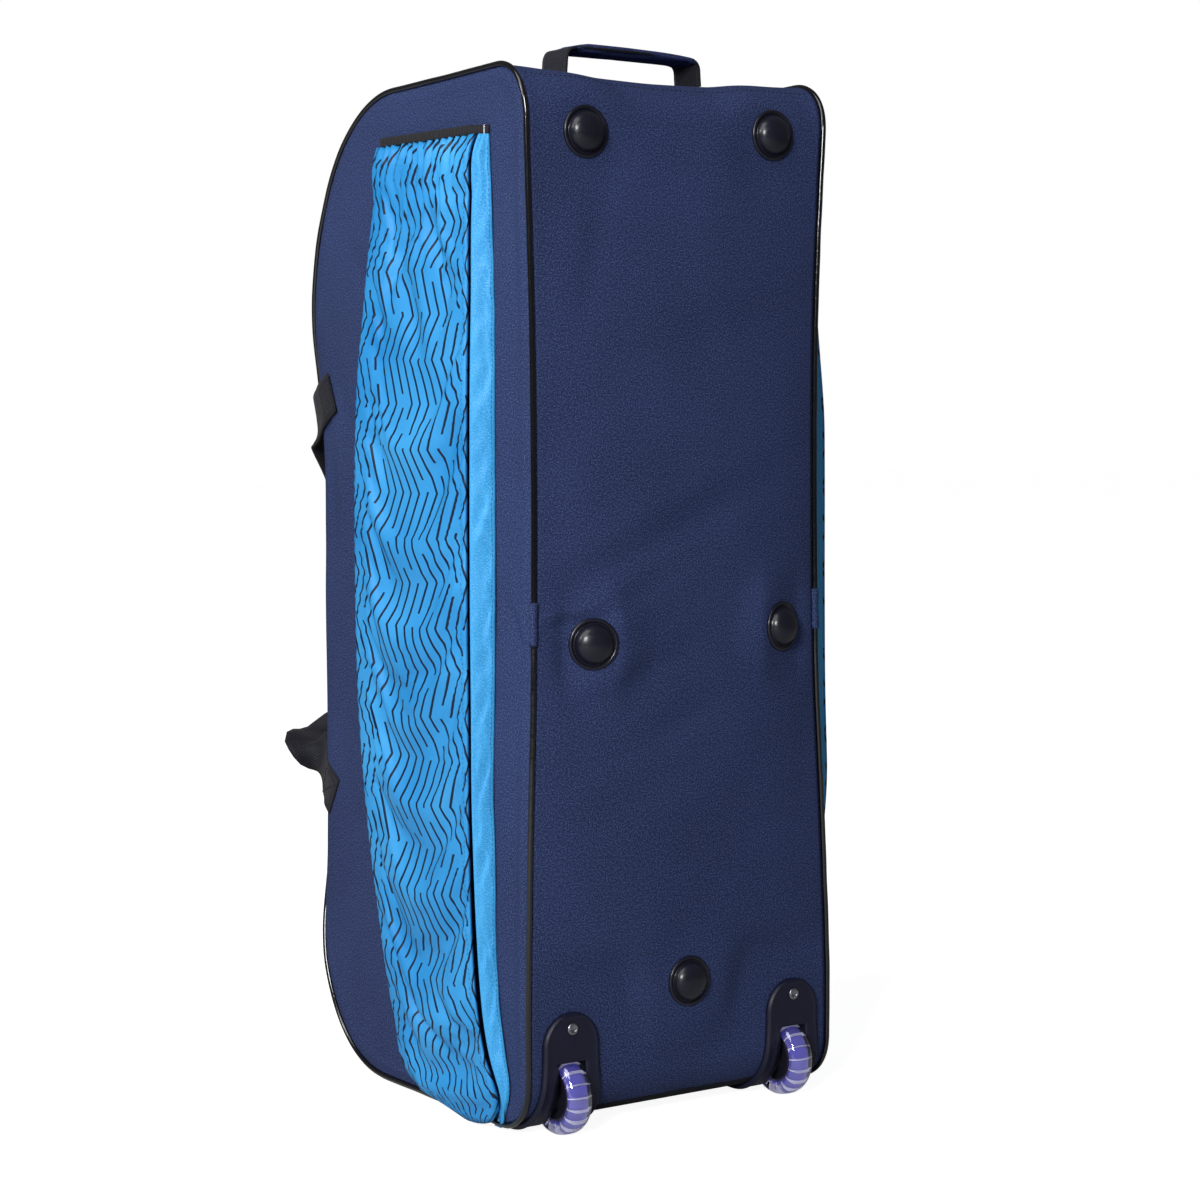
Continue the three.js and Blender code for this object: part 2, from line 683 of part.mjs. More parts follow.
for (const side of ['left', 'right']) {
  addPiece(`side_panel_${side}`, sidePanel(side), navyFabric);
  const sections = [];
  const end = wrapStart + outline.length;
  for (let i = wrapStart + 1; i <= end; i += 1) {
    let shift = 0;
    shift = i === wrapStart + 1 ? gap / 2 : shift;
    shift = i === end ? -gap / 2 : shift;
    sections.push(pipingSection(side, i, shift));
  }
  addPiece(`piping_${side}`, loft(sections, false), pipingCord);
  const wrap = [pipingSection(side, wrapStart, gap / 2), pipingSection(side, wrapStart + 1, -gap / 2)];
  addPiece(`piping_wrap_${side}`, loft(wrap, false), navyFabric);
}

// Studs: flange, groove and dome
const footProfile = [
  [0, 0], [1, 0], [1, 0.13], [0.9, 0.24], [0.82, 0.16], [0.68, 0.55], [0.42, 0.9], [0, 1],
];
for (const foot of feet) {
  const points = footProfile.map(([r, h]) => new THREE.Vector2(r * footRadius, h * footHeight));
  const stud = tidy(new THREE.LatheGeometry(points, 14));
  addPiece(foot.name, footPlace(foot, stud, gap), footPlastic);
}

// Wheel housings: a plate that wraps the bottom corner, with a well let into the bag
function housingRows() {
  const corner = outline.slice(outline.length - baseSeamStep).concat(outline.slice(0, 4));
  const underStart = { ...corner[0], y: housingBack };
  const rows = [underStart, ...corner];
  const last = rows[rows.length - 1];
  const climb = housingTop - gap - last.z;
  for (const share of [0.3, 0.55, 0.75, 0.88, 0.96, 1]) {
    rows.push({ y: baseY, z: last.z + climb * share, outY: -1, outZ: 0 });
  }
  return rows;
}

function housingHalfWidth(row) {
  const arch = housingWidth / 2;
  const fromTop = housingTop - row.z;
  const round = fromTop < arch ? Math.sqrt(Math.max(arch * arch - (arch - fromTop) ** 2, housingTip ** 2)) : arch;
  const flare = housingFlare * Math.pow(clamp01((fromTop - arch) / (housingHeight - arch)), 2);
  return round + flare;
}

function housingPlate(well) {
  const outer = [];
  const inner = [];
  for (const row of housingRows()) {
    const half = housingHalfWidth(row);
    const outerRow = [];
    const innerRow = [];
    for (let j = 0; j <= 6; j += 1) {
      const x = well.x + half * (j / 3 - 1);
      const bevel = j === 0 || j === 6 ? 0.45 : 1;
      const reach = gap + housingThickness * bevel;
      outerRow.push(new THREE.Vector3(x, row.y + row.outY * reach, row.z + row.outZ * reach));
      innerRow.push(new THREE.Vector3(x, row.y + row.outY * gap, row.z + row.outZ * gap));
    }
    outer.push(outerRow);
    inner.push(innerRow);
  }
  return wallBetween(outer, inner);
}

for (const well of wells) {
  const drum = toSolid(disc(wellRadius, wellWidth, well.x, wheelY, wheelZ, wellSides));
  const front = baseY - housingThickness;
  const bottom = seamHeight - housingThickness;
  const block = new THREE.BoxGeometry(2 * wellWidth, 4 * wellRadius, 4 * wellRadius);
  block.translate(well.x, front + 2 * wellRadius, bottom + 2 * wellRadius);
  const shell = toSolid(housingPlate(well)).add(drum.intersect(toSolid(block)));
  const cavity = toSolid(disc(cavityRadius, cavityWidth, well.x, wheelY, wheelZ, wellSides));
  const bore = toSolid(disc(axleRadius + gap, 2 * wellWidth, well.x, wheelY, wheelZ, 12));
  addPiece(`wheel_housing_${well.side}`, fromSolid(shell.subtract(cavity).subtract(bore)), mouldedPlastic);

  const axle = tidy(disc(axleRadius, wellWidth, well.x, wheelY, wheelZ, 12));
  addPiece(`wheel_axle_${well.side}`, axle, steel);

  const rivet = new THREE.CylinderGeometry(rivetRadius * 0.7, rivetRadius, rivetHeight, 12);
  rivet.rotateX(Math.PI);
  rivet.translate(well.x, baseY - housingThickness - 2 * gap - rivetHeight / 2,
    housingTop - rivetDrop - rivetRadius);
  addPiece(`housing_rivet_${well.side}`, tidy(rivet), steel);

  const hubRadius = wheelRadius - tyreDepth;
  const half = wheelWidth / 2;
  const tyreProfile = [
    [hubRadius + gap, -0.80], [wheelRadius - tyreShoulder, -1], [wheelRadius, -0.35], [wheelRadius, 0.35],
    [wheelRadius - tyreShoulder, 1], [hubRadius + gap, 0.80], [hubRadius + gap, -0.80],
  ].map(([r, h]) => new THREE.Vector2(r, h * half));
  const hubProfile = [
    [axleRadius + gap, -0.95], [axleRadius * 2.2, -0.95], [hubRadius, -0.70], [hubRadius, 0.70],
    [axleRadius * 2.2, 0.95], [axleRadius + gap, 0.95], [axleRadius + gap, -0.95],
  ].map(([r, h]) => new THREE.Vector2(r, h * half));
  const place = (profile) => {
    const ring = new THREE.LatheGeometry(profile, 20);
    ring.rotateZ(Math.PI / 2);
    ring.translate(well.x, wheelY, wheelZ);
    return tidy(ring);
  };
  addPiece(`wheel_tyre_${well.side}`, place(tyreProfile), tyrePlastic);
  addPiece(`wheel_hub_${well.side}`, place(hubProfile), hubPlastic);
}

// Pull handle: webbing legs from the top end, arched through a fabric sleeve
function handleSection(x, z, tiltX, tiltZ, width, thickness) {
  const middleY = baseY + handleSetback;
  const length = Math.hypot(tiltX, tiltZ);
  const overX = -tiltZ / length;
  const overZ = tiltX / length;
  const corners = [];
  for (const [across, over] of [[-1, -1], [1, -1], [1, 1], [-1, 1]]) {
    corners.push(new THREE.Vector3(
      x + overX * over * thickness / 2,
      middleY + across * width / 2,
      z + overZ * over * thickness / 2,
    ));
  }
  return corners;
}

const handleEnds = [-1, 0, 1].map((k) => baseY + handleSetback + k * handleWebbing / 2);
const handleFoot = Math.max(...handleEnds.map((y) => topEndHeight(handleSpan / 2, y))) + 2 * gap;
const handleRoute = [
  [-1.10, 0], [-1.06, 0.30], [-1.00, 0.66], [-0.86, 0.93], [-0.5, 1], [0, 0.98], [0.5, 0.95], [0.86, 0.88],
  [1.00, 0.64], [1.06, 0.30], [1.10, 0],
].map(([along, rise]) => ({ x: along * handleSpan / 2, z: handleFoot + rise * handleRise }));

function handleLoft(width, thickness, first, last, overhang) {
  const sections = [];
  for (let i = first; i <= last; i += 1) {
    const before = handleRoute[Math.max(i - 1, 0)];
    const after = handleRoute[Math.min(i + 1, handleRoute.length - 1)];
    const here = handleRoute[i];
    const taper = overhang && (i === first || i === last) ? 0.7 : 1;
    sections.push(handleSection(here.x, here.z, after.x - before.x, after.z - before.z, width,
      thickness * taper));
  }
  return loft(sections, false);
}

addPiece('top_handle_webbing',
  handleLoft(handleWebbing, webbingThickness, 0, handleRoute.length - 1, false), blackWebbing);
const sleeve = toSolid(handleLoft(handleWebbing + 2 * gripOverhang, gripThickness, 2, 8, true));
const sleeveRoom = toSolid(handleLoft(handleWebbing + 2 * gap, webbingThickness + 2 * gap, 1, 9, false));
addPiece('top_handle_grip', fromSolid(sleeve.subtract(sleeveRoom)), navyFabric);

// Carry handles: a ribbon of webbing with both ends laid on the side panel
function carryHandle(side) {
  const sign = signOf(side);
  const laidReach = (y, z) => sideReach(side, y, z) + carryLift;
  const route = CARRY.map((row) => {
    const y = baseY + row.deep * bagDepth;
    const z = seamHeight + row.up * bagLength;
    return new THREE.Vector3(sign * (row.out === 0 ? laidReach(y, z) : row.out * bagHalfWidth), y, z);
  });
  const curve = new THREE.CatmullRomCurve3(route, false, 'centripetal');
  const spans = route.length - 1;
  const outer = [];
  const inner = [];
  for (let step = 0; step <= carrySteps * spans; step += 1) {
    const row = Math.min(Math.floor(step / carrySteps), spans - 1);
    const share = step / carrySteps - row;
    const turn = THREE.MathUtils.degToRad(CARRY[row].turn + (CARRY[row + 1].turn - CARRY[row].turn) * share);
    const middle = curve.getPoint(step / (carrySteps * spans));
    const along = curve.getTangent(step / (carrySteps * spans));
    const past = smooth((middle.y - lidY) / (0.06 * bagDepth));
    const width = new THREE.Vector3(0, -Math.sin(turn), Math.cos(turn));
    width.lerp(new THREE.Vector3(-sign, 0, 0), past * 0.97);
    width.addScaledVector(along, -width.dot(along)).normalize();
    const normal = new THREE.Vector3().crossVectors(along, width);
    const outward = new THREE.Vector3(sign * (1 - past), past, 0);
    if (normal.dot(outward) < 0) {
      normal.negate();
    }
    const innerRow = [];
    const outerRow = [];
    for (const across of [-1, -0.35, 0.35, 1]) {
      const point = middle.clone().addScaledVector(width, across * carryWebbing / 2);
      if (point.y < lidY) {
        point.x = sign * Math.max(sign * point.x, laidReach(point.y, point.z));
      }
      innerRow.push(point);
      outerRow.push(point.clone().addScaledVector(normal, webbingThickness));
    }
    inner.push(innerRow);
    outer.push(outerRow);
  }
  return wallBetween(outer, inner);
}

// Side pockets: a bellows of cloth sewn to the side panel, gathered under an elastic binding
const pocketTop = POCKET[0].up;

function pocketSection(side, up, depth) {
  const z = seamHeight + up * bagLength;
  const read = (column) => readTable(POCKET, column, up);
  const place = (share) => baseY + share * bagDepth;
  const seamY = place(read('baseSeam'));
  const foldY = place(read('fold'));
  const crownY = place(read('crown'));
  const endY = place(read('lidSeam'));
  const nearMouth = smooth((up - (pocketTop - 0.06)) / 0.06);
  const foldOut = mouthGap * nearMouth + depth * Math.max(read('foldOut'), 0) + pocketSeam;
  const crownOut = mouthGap * nearMouth + depth * Math.max(read('crownOut'), 0) + pocketSeam;
  const spots = [];
  spots.push([seamY, pocketSeam]);
  spots.push([(seamY + foldY) / 2 - pocketTuck, pocketSeam + (foldOut - pocketSeam) * 0.55]);
  const front = 7;
  for (let j = 0; j <= front; j += 1) {
    const t = j / front;
    const belly = 0.14 * depth * Math.sin(Math.PI * t) * (1 - nearMouth) * smooth(up / 0.1);
    const gathered = smooth((up - 0.72) / 0.2) + 0.6 * smooth((0.12 - up) / 0.08);
    const ripple = gatherDepth * gathered * Math.sin(2 * Math.PI * gatherCount * t) * Math.sin(Math.PI * t);
    const out = foldOut + (crownOut - foldOut) * t + belly + (1 - nearMouth) * ripple;
    spots.push([foldY + (crownY - foldY) * t, Math.max(out, pocketSeam + pocketThickness)]);
  }
  spots.push([(crownY + endY) / 2 + pocketTuck, pocketSeam + (crownOut - pocketSeam) * 0.5]);
  spots.push([endY + pocketTuck, pocketSeam]);
  return spots.map(([y, out]) => new THREE.Vector3(signOf(side) * (sideReach(side, y, z) + out), y, z));
}

// Offsets each row of points towards the side panel by a wall's thickness
function thickenRows(side, rows, thickness) {
  return rows.map((row) => row.map((point, j) => {
    const before = row[Math.max(j - 1, 0)];
    const after = row[Math.min(j + 1, row.length - 1)];
    const run = new THREE.Vector3().subVectors(after, before);
    const length = Math.hypot(run.x, run.y);
    const inwardX = -signOf(side) * run.y / length;
    const inwardY = signOf(side) * run.x / length;
    const rim = j === 0 || j === row.length - 1;
    return new THREE.Vector3(
      point.x + (rim ? 0 : inwardX * thickness),
      point.y + (rim ? Math.sign(j === 0 ? 1 : -1) * thickness : inwardY * thickness),
      point.z,
    );
  }));
}

for (const side of ['left', 'right']) {
  addPiece(`carry_handle_${side}`, carryHandle(side), blackWebbing);
  const depth = side === 'left' ? pocketDepthLeft : pocketDepthRight;
  const cloth = [];
  for (let i = 0; i < POCKET.length; i += 1) {
    cloth.push(pocketSection(side, POCKET[i].up, depth));
  }
  addPiece(`side_pocket_${side}`, wallBetween(cloth, thickenRows(side, cloth, pocketThickness)), blueFabric);
  const bandStart = pocketTop + gap / bagLength;
  const bandEnd = bandStart + bindingHeight / bagLength;
  const band = [bandStart, bandEnd].map((up) => {
    const row = pocketSection(side, Math.min(up, 1), depth);
    const lift = seamHeight + up * bagLength;
    return row.map((point) => new THREE.Vector3(point.x, point.y, lift));
  });
  addPiece(`pocket_binding_${side}`, wallBetween(band, thickenRows(side, band, bindingThickness)), blackWebbing);
}

// The origin is the middle of the bag's footprint on the floor
const box = new THREE.Box3().setFromObject(bag);
bag.position.set(-(box.min.x + box.max.x) / 2, -(box.min.y + box.max.y) / 2, -box.min.z);

export default bag;
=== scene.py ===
import math
from types import SimpleNamespace

import bmesh
import bpy
from mathutils import Matrix, Vector, noise


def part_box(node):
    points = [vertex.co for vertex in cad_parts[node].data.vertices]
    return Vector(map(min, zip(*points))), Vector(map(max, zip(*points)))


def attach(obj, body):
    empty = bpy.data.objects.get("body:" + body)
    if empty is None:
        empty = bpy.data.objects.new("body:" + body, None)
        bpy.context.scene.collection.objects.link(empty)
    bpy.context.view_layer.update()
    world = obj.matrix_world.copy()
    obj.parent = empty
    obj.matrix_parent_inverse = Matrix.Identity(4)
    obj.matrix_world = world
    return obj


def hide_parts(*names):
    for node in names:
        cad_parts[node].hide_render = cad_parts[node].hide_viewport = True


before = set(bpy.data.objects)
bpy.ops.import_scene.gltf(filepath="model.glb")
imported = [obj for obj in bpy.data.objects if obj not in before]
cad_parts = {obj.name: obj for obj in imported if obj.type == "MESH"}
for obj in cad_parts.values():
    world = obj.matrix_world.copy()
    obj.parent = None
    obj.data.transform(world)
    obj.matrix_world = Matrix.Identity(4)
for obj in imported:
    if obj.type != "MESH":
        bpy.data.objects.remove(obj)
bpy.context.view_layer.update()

# Base panel
# The bottom of the bag, which faces the viewer: stiffened 600 denier polyester, cut in one piece
# and turned over the top end, swollen a little by what it is stretched over.
MM = 0.001
BAG_LENGTH = 907.0
BAG_DEPTH = 375.0
HALF_WIDTH = 160.0
SEAM_HEIGHT = 8.0
BASE_Y = -179.0
LID_Y = BASE_Y + BAG_DEPTH
BAG_TOP = SEAM_HEIGHT + BAG_LENGTH
TOP_RISE = 6.0
TOP_SAG = 7.0
BASE_SWELL = 13.0
SIDE_SWELL = 11.0
ROLL_IN = 24.0
ROLL_DEPTH = 40.0
ROLL_POWER = 2.2
WAIST_REACH = 0.4
PIPING_RADIUS = 2.5
SEAM_GAP = 0.3
SEAM_INSET = PIPING_RADIUS + SEAM_GAP
BASE_THICKNESS = 2.5
NAVY_PITCH = 1.3
WRAP_LOW = SEAM_HEIGHT + 423.0
WRAP_HIGH = WRAP_LOW + 33.0
# Shares up the bag, with the left and right waist there, and how far the side rolls in beside the lid
WAIST = ((0.00, 1.010, 1.050), (0.12, 1.010, 1.050), (0.28, 0.995, 1.005), (0.42, 0.975, 0.955),
         (0.60, 0.970, 0.935), (0.76, 0.980, 0.935), (0.90, 1.005, 0.965), (1.00, 1.020, 1.000))
ROLL = ((0.00, 0.0), (0.08, 0.0), (0.18, 0.6), (0.30, 0.9), (0.60, 0.9), (0.70, 0.4), (0.80, 0.0),
        (1.00, 0.0))
# Corners of the side panel: share of the depth, share of the length, power of the curve, steps
CORNERS = {"base_bottom": (0.120, 0.050, 2.2, 6), "base_top": (0.115, 0.053, 2.2, 6),
           "lid_top": (0.440, 0.290, 2.2, 9), "lid_bottom": (0.370, 0.269, 2.45, 9)}
FINE = 8
# Studs: share across and up, and the tilt of the cloth under each in degrees
FEET = {"top_left": (-0.645, 0.944, 0), "top_right": (0.615, 0.952, 0), "middle_left": (-0.625, 0.464, -18),
        "middle_right": (0.665, 0.470, 16), "bottom": (0.030, 0.127, 0)}
FOOT_RADIUS = 22.5
WHEEL_RADIUS = 35.0
WHEEL_SETBACK = 13.0
HOUSING_WIDTH = 58.0
HOUSING_FLARE = 8.0
HOUSING_HEIGHT = 102.0
HOUSING_UNDER = 58.0
HOUSING_INSET = 3.3
CLOTH_HOLD = 20.0
WELL_HALF = 19.0
WELL_RADIUS = 44.0
# Soft folds of the base: place across and up, half length, half width, slant in degrees, depth
BASE_FOLDS = ((-130, 446, 45, 5, 8, 2.2), (-120, 424, 34, 6, -24, 1.6), (-62, 468, 60, 10, 26, 1.5),
              (-20, 350, 62, 12, 22, 1.2), (-40, 300, 80, 16, 20, 0.9), (96, 330, 46, 12, -12, 0.9),
              (-95, 760, 70, 14, 78, 0.9), (30, 700, 110, 18, 14, 0.8), (90, 150, 70, 14, -18, 0.9),
              (-25, 520, 130, 15, 23, 2.3), (-60, 395, 70, 11, 24, 1.8))


def share_of(value):
    """A value kept between 0 and 1."""
    return min(max(value, 0.0), 1.0)


def smooth(value):
    t = share_of(value)
    return t * t * (3 - 2 * t)


def table_value(rows, column, up):
    """One column of a table of rows at a share of the length, on a smooth curve through its rows."""
    up = min(max(up, rows[0][0]), rows[-1][0])
    i = 0
    while i < len(rows) - 2 and up > rows[i + 1][0]:
        i += 1

    def slope(k):
        a, b = rows[max(k - 1, 0)], rows[min(k + 1, len(rows) - 1)]
        return (b[column] - a[column]) / (b[0] - a[0])

    span = rows[i + 1][0] - rows[i][0]
    t = (up - rows[i][0]) / span
    return ((1 + 2 * t) * (1 - t) ** 2 * rows[i][column] + t * t * (3 - 2 * t) * rows[i + 1][column]
            + span * t * (1 - t) ** 2 * slope(i) + span * t * t * (t - 1) * slope(i + 1))


def sign_of(side):
    """The way a side faces across the bag."""
    return -1 if side == "left" else 1


def side_reach(side, y, z):
    """Distance of a side's cloth from the middle of the bag, all in millimetres."""
    up = share_of((z - SEAM_HEIGHT) / BAG_LENGTH)
    deep = share_of((y - BASE_Y) / BAG_DEPTH)
    rolled = share_of((y - LID_Y + ROLL_DEPTH) / ROLL_DEPTH) ** ROLL_POWER
    swell = (16 * deep * (1 - deep) * up * (1 - up)) ** 0.8
    waist = (table_value(WAIST, 1 if side == "left" else 2, up) - 1) * (1 - smooth(deep / WAIST_REACH))
    return HALF_WIDTH * (1 + waist) - ROLL_IN * table_value(ROLL, 1, up) * rolled + SIDE_SWELL * swell


def corner_points(name, middle_y, middle_z, start, end):
    power, steps = CORNERS[name][2:]
    points = []
    for i in range(steps * FINE + 1):
        angle = math.pi / 2 * i / (steps * FINE)
        a, b = max(math.cos(angle), 0.0) ** (2 / power), math.sin(angle) ** (2 / power)
        points.append([middle_y + start[0] * a + end[0] * b, middle_z + start[1] * a + end[1] * b])
    return points


def run_between(a, b, steps):
    count = steps * FINE
    return [[a[0] + (b[0] - a[0]) * i / count, a[1] + (b[1] - a[1]) * i / count] for i in range(1, count)]


def body_outline():
    """The side panel's outline from under the base corner, up the base, over the lid and back."""
    size = {k: (v[0] * BAG_DEPTH, v[1] * BAG_LENGTH) for k, v in CORNERS.items()}
    bb, bt, lt, lb = (size[k] for k in ("base_bottom", "base_top", "lid_top", "lid_bottom"))
    low, top = SEAM_HEIGHT, BAG_TOP + TOP_RISE
    base_bottom = corner_points("base_bottom", BASE_Y + bb[0], low + bb[1], (0, -bb[1]), (-bb[0], 0))
    base_top = corner_points("base_top", BASE_Y + bt[0], top - bt[1], (-bt[0], 0), (0, bt[1]))
    lid_top = corner_points("lid_top", LID_Y - lt[0], BAG_TOP - lt[1], (0, lt[1]), (lt[0], 0))
    lid_bottom = corner_points("lid_bottom", LID_Y - lb[0], low + lb[1], (lb[0], 0), (0, -lb[1]))
    wrap = [BASE_Y, WRAP_LOW], [BASE_Y, WRAP_HIGH]
    seam = 3 * FINE
    parts = (base_bottom[seam:], run_between(base_bottom[-1], wrap[0], 6), [wrap[0]],
             run_between(wrap[0], wrap[1], 1), [wrap[1]], run_between(wrap[1], base_top[0], 6), base_top,
             run_between(base_top[-1], lid_top[0], 4), lid_top, run_between(lid_top[-1], lid_bottom[0], 5),
             lid_bottom, run_between(lid_bottom[-1], base_bottom[0], 6), base_bottom[:seam])
    points = [p for part in parts for p in part]
    marks = {"wrap": points.index(wrap[0]), "top": points.index(base_top[-1]),
             "lid": points.index(lid_top[FINE]), "floor": points.index(lid_bottom[6 * FINE]),
             "base_start": base_bottom[-1][1], "base_end": base_top[0][1]}
    rows = []
    for i, (y, z) in enumerate(points):
        before, after = points[i - 1], points[(i + 1) % len(points)]
        run = math.hypot(after[0] - before[0], after[1] - before[1])
        rows.append((y, z, -(after[1] - before[1]) / run, (after[0] - before[0]) / run))
    return rows, marks


OUTLINE, MARKS = body_outline()

axles = {side: sum(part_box(f"wheel_axle_{side}"), Vector()) / 2 for side in ("left", "right")}
WELLS = {side: sign_of(side) * (side_reach(side, BASE_Y, SEAM_HEIGHT)
                                - PIPING_RADIUS - HOUSING_INSET - HOUSING_FLARE - HOUSING_WIDTH / 2)
         for side in ("left", "right")}
MIDDLE = Vector(((axles["left"].x - WELLS["left"] * MM + axles["right"].x - WELLS["right"] * MM) / 2,
                 axles["left"].y - (BASE_Y + WHEEL_SETBACK) * MM, 0.0))


def on_bag(point):
    """A point of the bag in millimetres as its place in the frame."""
    return Vector(point) * MM + MIDDLE


def linear(hex_colour):
    """An sRGB hex colour as linear red, green, blue and alpha."""
    channels = [int(hex_colour[i:i + 2], 16) / 255 for i in (1, 3, 5)]
    return [c / 12.92 if c <= 0.04045 else ((c + 0.055) / 1.055) ** 2.4 for c in channels] + [1.0]


def add_node(tree, kind, settings):
    """Adds a node: keys are inputs or attributes, values are settings or other nodes' outputs."""
    node = tree.nodes.new("ShaderNode" + kind)
    for key, value in settings.items():
        if isinstance(value, bpy.types.NodeSocket):
            tree.links.new(value, node.inputs[key])
        elif isinstance(key, int) or key in node.inputs:
            node.inputs[key].default_value = value
        else:
            setattr(node, key, value)
    return node


def calculate(tree, operation, *operands):
    """One step of arithmetic on numbers and other nodes' outputs."""
    return add_node(tree, "Math", {"operation": operation, **dict(enumerate(operands))}).outputs[0]


def noise_at(tree, place, scale, detail=2.0, roughness=0.5):
    settings = {"Scale": scale, "Detail": detail, "Roughness": roughness, "Vector": place}
    return add_node(tree, "TexNoise", settings).outputs[0]


def remap(tree, value, low, high, to_low, to_high):
    return add_node(tree, "MapRange", {0: value, 1: low, 2: high, 3: to_low, 4: to_high}).outputs[0]


def blend(tree, share, first, second):
    """Mixes two colours by a share: each is a hex colour, a list or another node's output."""
    first, second = (linear(c) if isinstance(c, str) else c for c in (first, second))
    return add_node(tree, "Mix", {"data_type": "RGBA", 0: share, 6: first, 7: second}).outputs[2]


def ramp(tree, share, low, dark, high, light):
    """A colour ramp between two hex colours, each at its place."""
    node = add_node(tree, "ValToRGB", {0: share})
    for stop, position, colour in zip(node.color_ramp.elements, (low, high), (dark, light)):
        stop.position, stop.color = position, linear(colour)
    return node.outputs[0]


def bumps(tree, height, strength, distance):
    return add_node(tree, "Bump", {"Strength": strength, "Distance": distance, "Height": height}).outputs[0]


def new_material(name, place="cloth"):
    """An empty material, its node tree, and a place in the cloth's own map or else on the object."""
    material = bpy.data.materials.new(name)
    material.use_nodes = True
    tree = material.node_tree
    tree.nodes.clear()
    if place == "cloth":
        return material, tree, add_node(tree, "UVMap", {"uv_map": "cloth"}).outputs[0]
    return material, tree, add_node(tree, "TexCoord", {}).outputs["Object"]


def finish_material(material, settings):
    """Joins the surface's settings to the output and gives the material back."""
    shader = add_node(material.node_tree, "BsdfPrincipled", settings)
    add_node(material.node_tree, "OutputMaterial", {"Surface": shader.outputs[0]})
    return material


def woven_polyester(name, dark, light, fleck, pitch, sheen=0.06, roughness=0.8, relief=0.07):
    """Plain weave of filament polyester: threads over and under, with painted light and shade on them,
    lighter on their crests and darker between them, and a few of them catching the light.

    Threads and grain are drawn about three times coarser than the real ones, so that they show.
    """
    material, tree, uv = new_material(name)
    scaled = {"operation": "SCALE", 0: uv, "Scale": 1 / (pitch * MM)}
    threads = add_node(tree, "VectorMath", scaled).outputs[0]
    axes = add_node(tree, "SeparateXYZ", {0: threads}).outputs
    warp, weft = (calculate(tree, "PINGPONG", axes[k], 0.5) for k in (0, 1))
    checks = add_node(tree, "TexChecker", {"Scale": 1.0, "Vector": threads}).outputs[1]
    height = add_node(tree, "Mix", {"data_type": "FLOAT", 0: checks, 2: warp, 3: weft}).outputs[0]
    grain = noise_at(tree, uv, 760.0, 3.0, 0.8)
    # Painted light and shade of the weave: each thread's crest is lighter and the hollows between threads
    # darker, over a random cloud of tone.
    painted_weave_shade_and_tone = calculate(tree, "MULTIPLY_ADD", height, 0.7, noise_at(tree, uv, 7.0))
    flecks = remap(tree, grain, 0.47, 0.64, 0.0, 0.62)
    colour = blend(tree, flecks, ramp(tree, painted_weave_shade_and_tone, 0.35, dark, 0.95, light), fleck)
    normal = bumps(tree, calculate(tree, "ADD", height, grain), relief, 0.0006)
    return finish_material(material, {
        "Roughness": roughness, "Sheen Weight": sheen, "Sheen Roughness": 0.45, "Sheen Tint": linear(light),
        "Specular IOR Level": 0.15, "Base Color": colour, "Normal": normal})


def new_piece(name, data):
    """Puts a mesh, a light or a camera in the scene."""
    piece = bpy.data.objects.new(name, data)
    bpy.context.scene.collection.objects.link(piece)
    return piece


def grid_piece(name, rows, closed=False, outward=None):
    """A sheet through rows of points in millimetres, with a UV map in metres along and across it."""
    count, width = len(rows), len(rows[0])
    verts = [on_bag(p) for row in rows for p in row]
    faces = []
    for i in range(count - 1):
        for j in range(width if closed else width - 1):
            k = (j + 1) % width
            faces.append((i * width + j, i * width + k, (i + 1) * width + k, (i + 1) * width + j))
    mesh = bpy.data.meshes.new(name)
    mesh.from_pydata(verts, [], faces)
    mesh.update()
    centre = outward if outward is not None else on_bag((0, 0, BAG_LENGTH / 2))
    if sum(f.normal.dot(f.center - centre) * f.area for f in mesh.polygons) < 0:
        mesh.flip_normals()
    middle_row, middle_column = count // 2 * width, width // 2
    across, along = [0.0], [0.0]
    for j in range(1, width + 1):
        across.append(across[-1] + (verts[middle_row + j % width] - verts[middle_row + j - 1]).length)
    for i in range(1, count):
        step = verts[i * width + middle_column] - verts[(i - 1) * width + middle_column]
        along.append(along[-1] + step.length)
    layer = mesh.uv_layers.new(name="cloth")
    for face in mesh.polygons:
        columns = [mesh.loops[k].vertex_index % width for k in face.loop_indices]
        wraps = closed and 0 in columns and width - 1 in columns
        for k in face.loop_indices:
            row, column = divmod(mesh.loops[k].vertex_index, width)
            layer.data[k].uv = (across[width if wraps and column == 0 else column], along[row])
    mesh.shade_smooth()
    return new_piece(name, mesh)


def reshape(mesh, weld=False, caps=None, opening=None):
    """Welds a swept sheet, closes its ends flat or smooth and turns it outwards, or else cuts an opening.

    An opening is a test of a face's middle in bag millimetres.
    """
    edit = bmesh.new()
    edit.from_mesh(mesh)
    if weld:
        bmesh.ops.remove_doubles(edit, verts=edit.verts, dist=1e-6)
    if caps:
        rims = [e for e in edit.edges if e.is_boundary]
        for face in bmesh.ops.holes_fill(edit, edges=rims, sides=0)["faces"]:
            face.smooth = face.smooth and caps != "flat"
    if opening:
        hidden = [f for f in edit.faces if opening((f.calc_center_median() - MIDDLE) / MM)]
        bmesh.ops.delete(edit, geom=hidden, context="FACES")
    else:
        bmesh.ops.recalc_face_normals(edit, faces=edit.faces)
    edit.to_mesh(mesh)
    edit.free()


def thicken(piece, thickness, offset=-1.0):
    """Gives a sheet its wall, inwards from the modelled face unless an offset says otherwise."""
    wall = piece.modifiers.new("wall", "SOLIDIFY")
    wall.thickness, wall.offset = thickness * MM, offset


def dress(piece, material, slot, body, *nodes):
    """Material, finish slot, which is not used, body and the CAD nodes that a piece stands for."""
    piece.data.materials.clear()
    piece.data.materials.append(material)
    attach(piece, body)
    if nodes:
        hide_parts(*nodes)
    return piece


